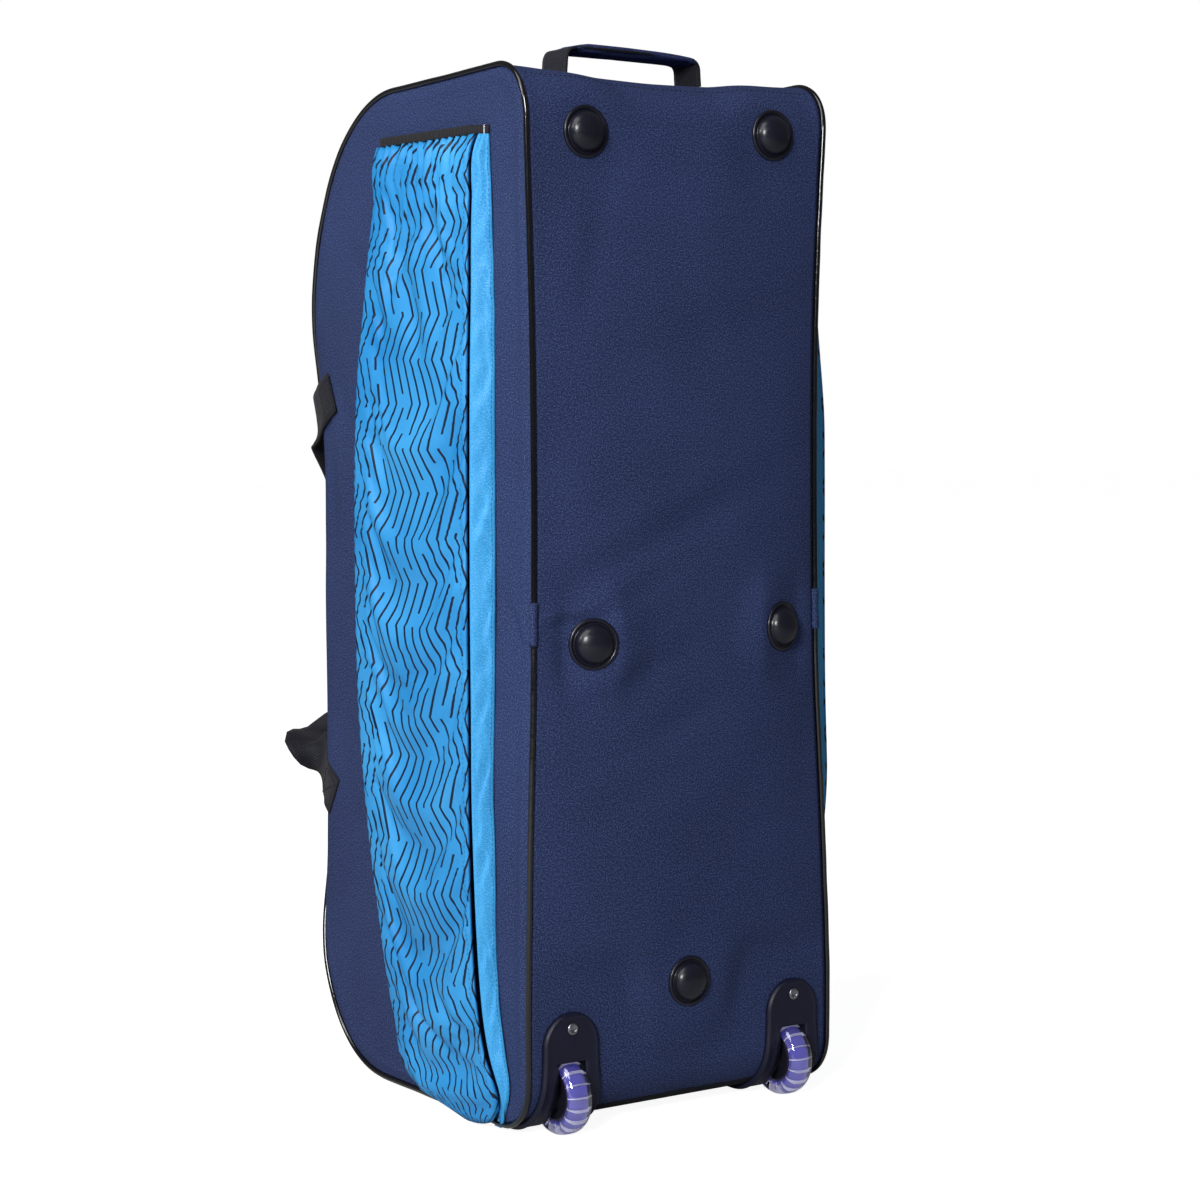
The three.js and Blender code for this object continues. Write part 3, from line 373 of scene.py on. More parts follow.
def fold_depth(folds, a, b):
    """Depth of a set of soft folds at a place: each is a long dent that fades out along its slant."""
    depth = 0.0
    for at_a, at_b, long, wide, slant, deep in folds:
        angle = math.radians(slant)
        along = (a - at_a) * math.cos(angle) + (b - at_b) * math.sin(angle)
        across = -(a - at_a) * math.sin(angle) + (b - at_b) * math.cos(angle)
        if abs(along) < 2 * long and abs(across) < 4 * wide:
            beyond = (across - 1.6 * wide) / wide
            ridge = math.exp(-(across / wide) ** 2) - 0.6 * math.exp(-beyond ** 2)
            depth += deep * ridge * math.exp(-(along / long) ** 2)
    return depth


def cloth_noise(a, b, size, seed):
    return noise.noise(Vector((a / size, b / size, seed)))


def seam_pucker(distance, along, seed, depth):
    """The ripples that a row of stitches draws up in the cloth beside a seam."""
    if distance > 30:
        return 0.0
    wave = math.sin(2 * math.pi * (along + 5 * cloth_noise(along, seed, 40, seed)) / 13.0)
    return depth * wave * math.exp(-distance / 7.0) * (0.4 + 0.6 * cloth_noise(along, seed, 25, seed + 3))


def plain_base_swell(across, z):
    along = share_of((z - MARKS["base_start"]) / (MARKS["base_end"] - MARKS["base_start"]))
    crown = (1 - abs(across) ** 2.5) * math.sin(math.pi * along) ** 0.6
    dip = (1 - across * across) * smooth((z - MARKS["base_end"]) / (CORNERS["base_top"][0] * BAG_DEPTH))
    return BASE_SWELL * crown - TOP_SAG * dip


def housing_hold(x, y, z):
    """How firmly a wheel housing holds the cloth flat at a place, from 0 to 1."""
    hold = 0.0
    for at in WELLS.values():
        away = math.hypot(max(abs(x - at) - HOUSING_WIDTH / 2 - HOUSING_FLARE, 0),
                          max(z - SEAM_HEIGHT - HOUSING_HEIGHT, 0), max(y - BASE_Y - HOUSING_UNDER, 0))
        hold = max(hold, 1 - smooth((away - CLOTH_HOLD) / (2 * CLOTH_HOLD)))
    return hold


FEET_AT = {}
for foot_name, (foot_across, foot_up, foot_tilt) in FEET.items():
    foot_x, foot_z = foot_across * HALF_WIDTH, SEAM_HEIGHT + foot_up * BAG_LENGTH
    foot_side = "left" if foot_across < 0 else "right"
    foot_swell = plain_base_swell(foot_x / side_reach(foot_side, BASE_Y, foot_z), foot_z)
    FEET_AT[foot_name] = (foot_x, foot_z, foot_swell, foot_tilt)


def base_swell(across, x, z):
    """How far the base stands out: crowned between its edges, and held flat round each stud."""
    swell = plain_base_swell(across, z) * (1 - housing_hold(x, BASE_Y, z))
    for at_x, at_z, level, tilt in FEET_AT.values():
        hold = smooth((3.0 * FOOT_RADIUS - math.hypot(x - at_x, z - at_z)) / (1.8 * FOOT_RADIUS))
        from_foot = min(max(x - at_x, -1.1 * FOOT_RADIUS), 1.1 * FOOT_RADIUS)
        leaning = -math.copysign(1, at_x) * math.tan(math.radians(abs(tilt))) * from_foot
        swell += hold * smooth((1 - abs(across)) * 6) * (level + leaning - swell)
    return swell


def raised(spot, x, swell):
    """A point of the outline at a place across the bag, moved outwards by a swell."""
    y, z, out_y, out_z = spot
    return x, y + out_y * swell, z + out_z * swell


def strip_rows(first, last, columns, swell_at, start=None, end=None):
    """Rows of points across the bag between two marks of its outline."""
    rows = []
    for i in range(first, last + 1):
        y, z = OUTLINE[i % len(OUTLINE)][:2]
        left = -(side_reach("left", y, z) - SEAM_INSET)
        right = side_reach("right", y, z) - SEAM_INSET
        low, high = (left if start is None else start), (right if end is None else end)
        row = []
        for j in range(columns + 1):
            x = low + (high - low) * j / columns
            across = x / -left if x < 0 else x / right
            swell = swell_at(across, x, y, z, (i - first) / (last - first), min(x - left, right - x))
            point = raised(OUTLINE[i % len(OUTLINE)], x, swell)
            row.append((*point[:2], max(point[2], 0.0)))
        rows.append(row)
    return rows


def base_relief(across, x, y, z, along, edge):
    free = smooth(edge / 24) * (1 - housing_hold(x, y, z))
    for at_x, at_z, *_ in FEET_AT.values():
        free *= smooth((math.hypot(x - at_x, z - at_z) - FOOT_RADIUS) / 34)
    soft = 1.5 * cloth_noise(x, z, 120, 1) + 0.5 * cloth_noise(x, z, 42, 2)
    relief = base_swell(across, x, z) + free * soft - fold_depth(BASE_FOLDS, x, z) * smooth(edge / 10)
    return relief + seam_pucker(edge, z, 4, 0.7) * smooth(edge / 3)


navy_base = woven_polyester("navy 600 denier polyester, base", "#141c37", "#202a4c", "#56679e", NAVY_PITCH)
base_cloth = grid_piece("base_cloth", strip_rows(0, MARKS["top"], 84, base_relief))
reshape(base_cloth.data, opening=lambda spot: any(
    abs(spot.x - at) < WELL_HALF
    and math.hypot(spot.y - BASE_Y - WHEEL_SETBACK, spot.z - WHEEL_RADIUS) < WELL_RADIUS
    for at in WELLS.values()))
thicken(base_cloth, BASE_THICKNESS)
dress(base_cloth, navy_base, "navy_fabric", "bag", "base_panel")


def sewing_thread(name, colour):
    """Bonded polyester thread: a faint gloss on a tight twist, which is too fine to draw."""
    material, tree, place = new_material(name, "object")
    shine = remap(tree, noise_at(tree, place, 1500.0), 0.55, 0.9, 0.0, 0.4)
    return finish_material(material, {
        "Roughness": 0.5, "Specular IOR Level": 0.3,
        "Base Color": blend(tree, shine, colour, "#6a7088")})


# A stitch: places along it as a share of its length, with the lift and the size of the thread there
STITCH = ((-0.5, -0.5, 0.5), (-0.32, 0.1, 1.0), (0.32, 0.1, 1.0), (0.5, -0.5, 0.5))
THREAD = ((1, 0), (0.3, 0.9), (-0.8, 0.5), (-0.8, -0.5), (0.3, -0.9))


def stitch_row(name, path, outward, material, slot, pitch=5.0, length=3.4, thick=0.45):
    """A row of stitches on a path in millimetres: each is a short thread that dips at its ends.

    outward is the way the cloth faces, once for the whole row or for each point of it.
    """
    spots = [Vector(p) for p in path]
    if isinstance(outward, tuple):
        outward = [outward] * len(spots)
    verts, faces, walked, wanted = [], [], 0.0, pitch / 2
    for a, b, way in zip(spots, spots[1:], outward):
        span = (b - a).length
        while span > 0 and wanted <= walked + span:
            middle = a + (b - a) * ((wanted - walked) / span)
            along = (b - a).normalized()
            out = (Vector(way) - along * along.dot(Vector(way))).normalized()
            beside = along.cross(out)
            first = len(verts)
            for at, lift, size in STITCH:
                for c, d in THREAD:
                    verts.append(on_bag(middle + along * at * length + out * (lift + c * size) * thick
                                        + beside * d * size * thick))
            for low in range(first, first + 15, 5):
                for k, n in enumerate((1, 2, 3, 4, 0)):
                    faces.append((low + k, low + n, low + 5 + n, low + 5 + k))
            faces.append(tuple(range(first + 4, first - 1, -1)))
            faces.append(tuple(range(first + 15, first + 20)))
            wanted += pitch
        walked += span
    mesh = bpy.data.meshes.new(name)
    mesh.from_pydata(verts, [], faces)
    mesh.update()
    reshape(mesh)
    mesh.shade_smooth()
    return dress(new_piece(name, mesh), material, slot, "bag")


navy_thread = sewing_thread("navy polyester thread", "#0f1530")
top_spot = OUTLINE[MARKS["top"] - 19]
seam_path = []
for k in range(61):
    x = -HALF_WIDTH * 0.96 + HALF_WIDTH * 1.9 * k / 60
    reach = side_reach("left" if x < 0 else "right", *top_spot[:2]) - SEAM_INSET
    seam_path.append(raised(top_spot, x, base_relief(x / reach, x, *top_spot[:2], 1.0, reach - abs(x))))
stitch_row("base_top_stitches", seam_path, (0, *top_spot[2:]), navy_thread, "navy_fabric")

# Top and bottom ends
# The two short ends of the bag: the top one in the same navy cloth, the bottom one in black,
# sagging to the floor between the wheels and the lid.
END_SWELL = 6.0
FLOOR_SAG = 18.0
CLOTH_THICKNESS = 1.5


def top_relief(across, x, y, z, along, edge):
    swell = (1 - across * across) * (END_SWELL * math.sin(math.pi * along) - TOP_SAG * (1 - along))
    soft = 0.8 * cloth_noise(x, y, 60, 11) * smooth(edge / 20) * math.sin(math.pi * along)
    return swell + soft + seam_pucker(edge, y, 12, 0.7) * smooth(edge / 3)


def floor_relief(across, x, y, z, along, edge):
    shape = smooth(along / 0.2) * smooth((0.7 - along) / 0.3) * (1 - housing_hold(x, y, SEAM_HEIGHT))
    return FLOOR_SAG * (1 - abs(across) ** 9) * shape + seam_pucker(edge, y, 14, 0.6) * smooth(edge / 3)


navy_side = woven_polyester("navy 600 denier polyester, sides", "#121b39", "#1d2a4c", "#566495", NAVY_PITCH)
black_cloth = woven_polyester("black 600 denier polyester", "#0e0f15", "#191b24", "#2b2d3a", NAVY_PITCH)
top_cloth = grid_piece("top_end_cloth", strip_rows(MARKS["top"], MARKS["lid"], 72, top_relief))
thicken(top_cloth, CLOTH_THICKNESS)
dress(top_cloth, navy_side, "navy_fabric", "bag", "top_end_panel")
floor_cloth = grid_piece("bottom_end_cloth", strip_rows(MARKS["floor"], len(OUTLINE), 72, floor_relief))
reshape(floor_cloth.data, opening=lambda spot: spot.y < BASE_Y + WHEEL_SETBACK + 42 and any(
    abs(spot.x - at) < WELL_HALF for at in WELLS.values()))
thicken(floor_cloth, CLOTH_THICKNESS)
dress(floor_cloth, black_cloth, "black_fabric", "bag", "bottom_end_panel")

# Lid and its zip
# Two soft halves of navy cloth meet at a long closed zip down the middle of the lid. The zip is
# woven tape with a nylon coil, shut over its full length.
LID_SWELL = 9.0
ZIP_WIDTH = 34.0
COIL_WIDTH = 5.0


def lid_swell(across, along):
    return LID_SWELL * (1 - across * across) * math.sin(math.pi * along) ** 0.7


def lid_relief(across, x, y, z, along, edge):
    free = smooth(edge / 26) * smooth((abs(x) - ZIP_WIDTH / 2) / 22)
    soft = 2.2 * cloth_noise(x, z, 110, 21) + 1.0 * cloth_noise(x, z, 45, 22)
    seam = seam_pucker(edge, z, 24, 0.8) * smooth(edge / 3)
    seam += 0.6 * seam_pucker(abs(x) - ZIP_WIDTH / 2, z, 26, 0.8)
    return lid_swell(across, along) + free * soft + seam


def zip_relief(across, x, y, z, along, edge):
    coil = max(1 - abs(x) / (COIL_WIDTH / 2), 0) ** 0.5
    return lid_swell(across, along) - 0.6 + 1.6 * coil


def zip_tape():
    """Nylon coil zip: black tape, with the coil's turns as close ridges across the middle, each turn
    painted lighter on its crest as a painted highlight and darker between turns as painted shade.

    The turns are drawn about twice as far apart as the real ones.
    """
    material, tree, uv = new_material("black nylon coil zip")
    turns = calculate(tree, "MULTIPLY", add_node(tree, "SeparateXYZ", {0: uv}).outputs[1], 1 / (2.2 * MM))
    ridge = calculate(tree, "PINGPONG", turns, 0.5)
    return finish_material(material, {
        "Roughness": 0.55, "Sheen Weight": 0.15, "Normal": bumps(tree, ridge, 0.8, 0.001),
        # Painted highlight and shade: the colour follows each turn's ridge, lighter on its crest and darker
        # in the gaps between turns.
        "Base Color": blend(tree, ridge, "#0d0e12", "#262830")})


black_thread = sewing_thread("black polyester thread", "#0b0c12")
lid_run = MARKS["floor"] - MARKS["lid"]
for side in ("left", "right"):
    inner = sign_of(side) * (ZIP_WIDTH / 2 + SEAM_GAP)
    span = (None, inner) if side == "left" else (inner, None)
    lid_rows = strip_rows(MARKS["lid"], MARKS["floor"], 34, lid_relief, *span)
    lid_cloth = grid_piece(f"lid_cloth_{side}", lid_rows)
    thicken(lid_cloth, CLOTH_THICKNESS)
    dress(lid_cloth, navy_side, "navy_fabric", "bag", f"lid_panel_{side}")
for side in ("left", "right"):
    at_x = sign_of(side) * (ZIP_WIDTH / 2 + 3.5)
    seam_path, seam_out = [], []
    for i in range(MARKS["lid"] + 3, MARKS["floor"] - 3, 2):
        y, z, out_y, out_z = OUTLINE[i]
        reach = side_reach(side, y, z) - SEAM_INSET
        swell = lid_relief(at_x / (sign_of(side) * reach), at_x, y, z, (i - MARKS["lid"]) / lid_run,
                           reach - abs(at_x))
        seam_path.append(raised(OUTLINE[i], at_x, swell))
        seam_out.append((0, out_y, out_z))
    stitch_row(f"zip_stitches_{side}", seam_path, seam_out, black_thread, "black_fabric")

zip_rows = strip_rows(MARKS["lid"], MARKS["floor"], 20, zip_relief, -ZIP_WIDTH / 2, ZIP_WIDTH / 2)
zip_piece = grid_piece("lid_zip_tape", zip_rows)
thicken(zip_piece, CLOTH_THICKNESS)
dress(zip_piece, zip_tape(), "black_fabric", "bag", "lid_zip")

# Side panels
# The two long sides of soft navy polyester, drawn in along the piping and rolled over towards
# the lid. The seam allowance behind them shows as a low ridge beside the piping.
# How far in each ring of the side lies, as a share of the way from its middle
RINGS = (1, 0.992, 0.984, 0.974, 0.962, 0.95, 0.935, 0.92, 0.90, 0.88, 0.86, 0.84, 0.815, 0.79, 0.765,
         0.74, 0.71, 0.68, 0.64, 0.60, 0.56, 0.52, 0.47, 0.42, 0.36, 0.30)
# Soft folds of a side: place from the base and up, half length, half width, slant in degrees, depth
SIDE_FOLDS = ((-155, 447, 30, 5, 60, 1.6), (110, 610, 60, 9, 60, 1.5), (150, 560, 70, 10, 80, 1.6),
              (130, 330, 70, 11, -70, 1.5), (90, 250, 50, 10, -30, 1.2), (100, 760, 60, 12, 40, 1.2),
              (-158, 760, 90, 7, 88, 1.2), (-158, 230, 110, 7, 91, 1.3))


def side_relief(side, y, z, edge, along):
    soft = 1.8 * cloth_noise(y, z, 130, 31 if side == "left" else 35) + 0.8 * cloth_noise(y, z, 48, 32)
    ridge = 1.5 * math.exp(-((edge - 9) / 4.5) ** 2) * (0.7 + 0.6 * cloth_noise(along, 0, 60, 33))
    folds = fold_depth(SIDE_FOLDS, y, z) * smooth(edge / 6)
    seam = seam_pucker(edge, along, 34, 0.8) * smooth(edge / 3)
    return smooth(edge / 30) * soft + ridge * smooth(edge / 4) - folds + seam


def side_panel(side):
    rim, along, walked = [], [], 0.0
    for i, (y, z, out_y, out_z) in enumerate(OUTLINE):
        lean = side_reach(side, y, z) - side_reach(side, y - out_y, z - out_z)
        inset = SEAM_INSET / math.hypot(1, lean)
        rim.append((y - out_y * inset, z - out_z * inset))
        walked += math.hypot(y - OUTLINE[i - 1][0], z - OUTLINE[i - 1][1]) if i else 0
        along.append(walked)
    middle_y = (BASE_Y + LID_Y) / 2
    low, high = SEAM_HEIGHT + BAG_LENGTH * 0.22, SEAM_HEIGHT + BAG_LENGTH * 0.78
    rows = []
    for share in RINGS:
        row = []
        for (y, z), walk in zip(rim, along):
            middle_z = min(max(z, low), high)
            at_y, at_z = middle_y + (y - middle_y) * share, middle_z + (z - middle_z) * share
            edge = (1 - share) * math.hypot(y - middle_y, z - middle_z)
            reach = side_reach(side, at_y, at_z) + side_relief(side, at_y, at_z, edge, walk)
            row.append((sign_of(side) * reach, at_y, at_z))
        rows.append(row)
    piece = grid_piece(f"side_cloth_{side}", rows, closed=True)
    edit = bmesh.new()
    edit.from_mesh(piece.data)
    inner = [e for e in edit.edges
             if e.is_boundary and e.verts[0].index >= len(rim) * (len(RINGS) - 1)]
    filled = bmesh.ops.triangle_fill(edit, use_beauty=True, use_dissolve=False, edges=inner)
    for face in (f for f in filled["geom"] if isinstance(f, bmesh.types.BMFace)):
        face.smooth = True
        if face.normal.x * sign_of(side) < 0:
            face.normal_flip()
    uv = edit.loops.layers.uv["cloth"]
    for face in edit.faces:
        for loop in face.loops:
            loop[uv].uv = (loop.vert.co.y, loop.vert.co.z)
    edit.to_mesh(piece.data)
    edit.free()
    thicken(piece, CLOTH_THICKNESS)
    return piece


for side in ("left", "right"):
    dress(side_panel(side), navy_side, "navy_fabric", "bag", f"side_panel_{side}")

# Piping
# A plastic cord in glossy black sleeve, sewn into the seam right round each side panel. Its ends
# meet half way up the base edge under a short wrap of the side's own cloth.


def glossy_sleeve():
    """Extruded PVC piping: black, smooth and glossy, with the slight waviness that sewing gives it."""
    material, tree, place = new_material("black extruded PVC piping", "object")
    wave = noise_at(tree, place, 160.0)
    return finish_material(material, {
        "Roughness": 0.14, "Coat Weight": 0.4, "Coat Roughness": 0.06, "Specular IOR Level": 0.5,
        "Base Color": blend(tree, wave, "#040406", "#0b0b10"),
        "Normal": bumps(tree, wave, 0.25, 0.0008)})


def way_along(path, i):
    """The direction of a path of vectors at one of its points."""
    return (path[min(i + 1, len(path) - 1)] - path[max(i - 1, 0)]).normalized()


def tube(name, points, radius_at, sides=12):
    """A round cord through points in millimetres, with a radius at each share of its length."""
    rows = []
    path = [Vector(p) for p in points]
    for i, spot in enumerate(path):
        along = way_along(path, i)
        if rows:
            side_way = (side_way - along * along.dot(side_way)).normalized()
        else:
            upright = Vector((0, 0, 1)) if abs(along.z) < 0.8 else Vector((0, 1, 0))
            side_way = along.cross(upright).normalized()
        up_way = side_way.cross(along).normalized()
        radius = radius_at(i / (len(path) - 1))
        rows.append([spot + side_way * radius * math.cos(2 * math.pi * k / sides)
                     + up_way * radius * math.sin(2 * math.pi * k / sides) for k in range(sides)])
    piece = grid_piece(name, rows, closed=True, outward=on_bag(path[len(path) // 2]))
    reshape(piece.data, caps="flat")
    return piece


pvc_piping = glossy_sleeve()
for side in ("left", "right"):
    cord = []
    for k in range(len(OUTLINE)):
        y, z, out_y, out_z = OUTLINE[(MARKS["wrap"] + FINE // 2 + k) % len(OUTLINE)]
        sway = 0.5 * cloth_noise(y, z, 35, 41)
        reach = side_reach(side, y, z) + sway
        cord.append((sign_of(side) * reach, y + 0.3 * sway * out_y, z + 0.3 * sway * out_z))
    piping = tube(f"piping_cord_{side}", cord, lambda t: PIPING_RADIUS)
    dress(piping, pvc_piping, "piping_cord", "bag", f"piping_{side}")
    wrap_points = []
    for k in range(13):
        z = WRAP_LOW - 2 + (WRAP_HIGH - WRAP_LOW + 4) * k / 12
        wrap_points.append((sign_of(side) * side_reach(side, BASE_Y, z), BASE_Y + 0.6, z))
    wrap = tube(f"piping_wrap_cloth_{side}", wrap_points,
                lambda t: PIPING_RADIUS + 1.3 + 0.3 * math.sin(9 * t) * math.sin(math.pi * t))
    dress(wrap, navy_side, "navy_fabric", "bag", f"piping_wrap_{side}")

# Studs
# Five moulded feet that carry the bag when it lies down: a thin flange with a rolled rim, a groove
# and a glossy dome, in black ABS held by a screw from inside.


def moulded_abs(name, colour, roughness, coat):
    """Injection moulded plastic: satin to glossy, with fine handling marks in the gloss."""
    material, tree, place = new_material(name, "object")
    marks = noise_at(tree, place, 300.0, 4.0, 0.65)
    deep = [0.8 * c for c in linear(colour)[:3]] + [1.0]
    worn = [min(1.25 * c + 0.001, 1.0) for c in linear(colour)[:3]] + [1.0]
    return finish_material(material, {
        "Coat Weight": coat, "Coat Roughness": 0.12, "IOR": 1.5, "Specular IOR Level": 0.3,
        "Base Color": blend(tree, noise_at(tree, place, 60.0, 3.0), deep, worn),
        "Roughness": remap(tree, marks, 0.3, 0.7, roughness - 0.07, roughness + 0.1),
        "Normal": bumps(tree, marks, 0.12, 0.0004)})


def turned_piece(name, profile, sides):
    """A primitive circle raised and drawn in, step by step, through a profile of radius and height."""
    bpy.ops.object.select_all(action="DESELECT")
    bpy.ops.mesh.primitive_circle_add(vertices=sides, radius=profile[0][0] * MM, fill_type="NGON")
    piece = bpy.context.object
    piece.name = name
    bpy.ops.object.mode_set(mode="EDIT")
    bpy.ops.mesh.select_all(action="SELECT")
    for (radius, height), (next_radius, next_height) in zip(profile, profile[1:]):
        lift = (0, 0, (next_height - height) * MM)
        bpy.ops.mesh.extrude_region_move(TRANSFORM_OT_translate={"value": lift})
        share = next_radius / radius
        bpy.ops.transform.resize(value=(share, share, 1), center_override=(0, 0, next_height * MM))
    bpy.ops.mesh.select_all(action="SELECT")
    bpy.ops.mesh.normals_make_consistent(inside=False)
    bpy.ops.object.mode_set(mode="OBJECT")
    piece.data.shade_smooth()
    return piece


foot_plastic = moulded_abs("black moulded ABS, glossy", "#10111d", 0.32, 0.2)
FACING_OUT = Matrix.Rotation(math.radians(90), 4, "X")
FOOT_PROFILE = ((22.5, 0.0), (22.5, 1.0), (22.1, 1.9), (21.0, 2.5), (19.8, 2.3), (18.9, 1.3), (18.2, 0.9),
                (17.6, 1.4), (17.2, 3.0), (16.4, 5.2), (14.8, 7.4), (12.2, 9.4), (9.0, 10.9), (5.4, 11.8),
                (1.6, 12.1))
for foot_name, (at_x, at_z, level, tilt) in FEET_AT.items():
    stud = turned_piece(f"stud_{foot_name}", FOOT_PROFILE, 48)
    place = Matrix.Translation(on_bag((at_x, BASE_Y - level - 0.2, at_z)))
    stud.data.transform(place @ Matrix.Rotation(math.radians(tilt), 4, "Z") @ FACING_OUT)
    dress(stud, foot_plastic, "stud_plastic", "bag", f"foot_{foot_name}")

# Wheel housings
# Moulded black polypropylene covers round the two bottom corners: an arched plate with a raised
# line near its edge and a slot that the wheel turns in, held by a pop rivet at its top.
PLATE = 4.0
SLOT_HALF = 14.6
SLOT_TOP = 67.0
# Columns of the plate: distances in from its edge, or shares of its half width where it is narrow
EDGE_STEPS = (0, 0.6, 1.4, 2.6, 3.4, 4.2, 5.2)
EDGE_SHARES = (0.5, 0.6, 0.7, 0.78, 0.88, 0.95, 1)
BOTTOM_CORNER = OUTLINE[len(OUTLINE) - 3 * FINE:] + OUTLINE[:3 * FINE + 1]


def housing_half(z):
    """Half the plate's width at a height: an arch at the top, flared towards the floor."""
    arch = HOUSING_WIDTH / 2
    from_top = SEAM_HEIGHT + HOUSING_HEIGHT - z
    half = math.sqrt(max(arch * arch - (arch - from_top) ** 2, 0.3)) if from_top < arch else arch
    return half + HOUSING_FLARE * share_of((from_top - arch) / (HOUSING_HEIGHT - arch)) ** 2


def housing_path():
    """The way the plate runs: from under the bag, round the corner and up the base."""
    back = BASE_Y + HOUSING_UNDER
    rows = [(back + (BOTTOM_CORNER[0][0] - back) * k / 10, SEAM_HEIGHT, 0.0, -1.0) for k in range(10)]
    rows += [tuple(c) for c in BOTTOM_CORNER]
    low, high = rows[-1][1], SEAM_HEIGHT + HOUSING_HEIGHT
    climb = [1 - (1 - k / 60) ** 1.6 for k in range(1, 61)]
    return rows + [(BASE_Y, low + (high - low) * t, -1.0, 0.0) for t in climb]


def housing_plate(side):
    """The arched plate, with a rounded edge, a raised line inside it and the wheel's slot."""
    at = WELLS[side]
    rows = []
    for y, z, out_y, out_z in housing_path():
        half = housing_half(z)
        wide = half > 12
        lines = [half - step for step in EDGE_STEPS] if wide else [half * share for share in EDGE_SHARES]
        inner = half - EDGE_STEPS[-1] if wide else half * EDGE_SHARES[0]
        slot = min(SLOT_HALF, inner * 0.9)
        lines.append((slot + inner) / 2)
        columns = [sign * x for sign in (-1, 1) for x in lines]
        columns += [-slot + 2 * slot * k / 6 for k in range(7)]
        top_edge = SEAM_HEIGHT + HOUSING_HEIGHT - z
        row = []
        for x in sorted(columns):
            edge = min(half - abs(x), top_edge if out_y < -0.9 else 99)
            round_off = PLATE * min(1, (max(edge, 0.0) / 2.2)) ** 0.5
            line = 0.7 * math.exp(-((edge - 3.4) / 0.9) ** 2)
            reach = SEAM_GAP + round_off + line * (edge > 0.5) - 0.25 * (edge > 5)
            row.append((at + x, y + out_y * reach, max(z + out_z * reach, 0.4)))
        rows.append(row)
    piece = grid_piece(f"housing_{side}", rows)
    reshape(piece.data, opening=lambda spot: abs(spot.x - at) < SLOT_HALF - 0.2 and spot.z < SLOT_TOP
            and spot.y < BASE_Y + WHEEL_SETBACK + 38)
    thicken(piece, PLATE - 0.4)
    return piece


def wheel_centre(side):
    return on_bag((WELLS[side], BASE_Y + WHEEL_SETBACK, WHEEL_RADIUS))


def wheel_well(side):
    """The drum behind the slot: a primitive cylinder whose front is cut away by a bisect."""
    bpy.ops.object.select_all(action="DESELECT")
    bpy.ops.mesh.primitive_cylinder_add(vertices=64, radius=38.4 * MM, depth=2 * SLOT_HALF * MM,
                                        location=wheel_centre(side), rotation=(0, math.pi / 2, 0))
    well = bpy.context.object
    well.name = f"wheel_well_{side}"
    bpy.ops.object.transform_apply(location=True, rotation=True, scale=True)
    bpy.ops.object.mode_set(mode="EDIT")
    cuts = [(BASE_Y - 1.0, 0, -1, 0)]
    cuts += [(y + 2 * out_y, z + 2 * out_z, out_y, out_z) for y, z, out_y, out_z in BOTTOM_CORNER[::4]]
    for y, z, out_y, out_z in cuts:
        bpy.ops.mesh.select_all(action="SELECT")
        bpy.ops.mesh.bisect(plane_co=on_bag((0, y, z)), plane_no=(0, out_y, out_z), clear_outer=True)
    bpy.ops.mesh.select_all(action="SELECT")
    bpy.ops.mesh.flip_normals()
    bpy.ops.object.mode_set(mode="OBJECT")
    thicken(well, 2.2)
    well.data.shade_smooth()
    return well


def turned_steel():
    """Zinc plated steel: bright and a little cloudy, with fine turning marks."""
    material, tree, place = new_material("zinc plated steel", "object")
    cloud = noise_at(tree, place, 900.0, 3.0)
    return finish_material(material, {
        "Metallic": 1.0, "Base Color": blend(tree, cloud, "#74767e", "#a3a5ab"),
        "Roughness": remap(tree, cloud, 0.3, 0.7, 0.22, 0.42)})


housing_plastic = moulded_abs("black moulded polypropylene, satin", "#0f1126", 0.46, 0.0)
plated_steel = turned_steel()
RIVET_PROFILE = ((5.4, 0.0), (5.4, 0.6), (5.1, 1.2), (4.3, 1.7), (3.6, 1.75), (3.1, 1.5), (2.8, 0.9),
                 (2.6, -0.4), (2.2, -0.6), (1.7, -0.2), (0.6, 0.1))
RIVET_DROP = 14.2
for side in ("left", "right"):
    dress(housing_plate(side), housing_plastic, "housing_plastic", "bag", f"wheel_housing_{side}")
    dress(wheel_well(side), housing_plastic, "housing_plastic", "bag")
for side in ("left", "right"):
    rivet = turned_piece(f"pop_rivet_{side}", RIVET_PROFILE, 32)
    place = on_bag((WELLS[side], BASE_Y - PLATE - 0.2, SEAM_HEIGHT + HOUSING_HEIGHT - RIVET_DROP))
    rivet.data.transform(Matrix.Translation(place) @ FACING_OUT)
    dress(rivet, plated_steel, "steel", "bag", f"housing_rivet_{side}")
    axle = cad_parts[f"wheel_axle_{side}"].data
    axle.materials.clear()
    axle.materials.append(plated_steel)

# Wheels
# Two small skate wheels: a clear violet polyurethane tyre cast over a ribbed core, on a dark
# moulded hub. They spin on the pins in the housings.


def cast_polyurethane():
    """Cast polyurethane: clear with a violet tint and glossy, so that the ribs inside show through it."""
    material, tree, place = new_material("clear violet cast polyurethane", "object")
    wave = noise_at(tree, place, 50.0, 1.0)
    return finish_material(material, {
        "Roughness": 0.03, "IOR": 1.47, "Transmission Weight": 1.0, "Coat Weight": 1.0,
        "Coat Roughness": 0.05, "Coat IOR": 1.9, "Normal": bumps(tree, wave, 0.1, 0.001),
        "Base Color": blend(tree, wave, "#d9d7f6", "#f4f3ff")})


def spun(name, half_profile, side, sides=64):
    """Half a profile of radius and place along the axle, mirrored and spun round the wheel's axis."""
    profile = list(half_profile) + [(r, -x) for r, x in reversed(half_profile) if x]
    rows = []
    for k in range(sides + 1):
        angle = 2 * math.pi * k / sides
        rows.append([(WELLS[side] + x, BASE_Y + WHEEL_SETBACK + r * math.cos(angle),
                      WHEEL_RADIUS + r * math.sin(angle)) for r, x in profile])
    piece = grid_piece(name, rows, closed=True, outward=wheel_centre(side))
    reshape(piece.data, weld=True)
    piece.data.shade_smooth()
    return piece


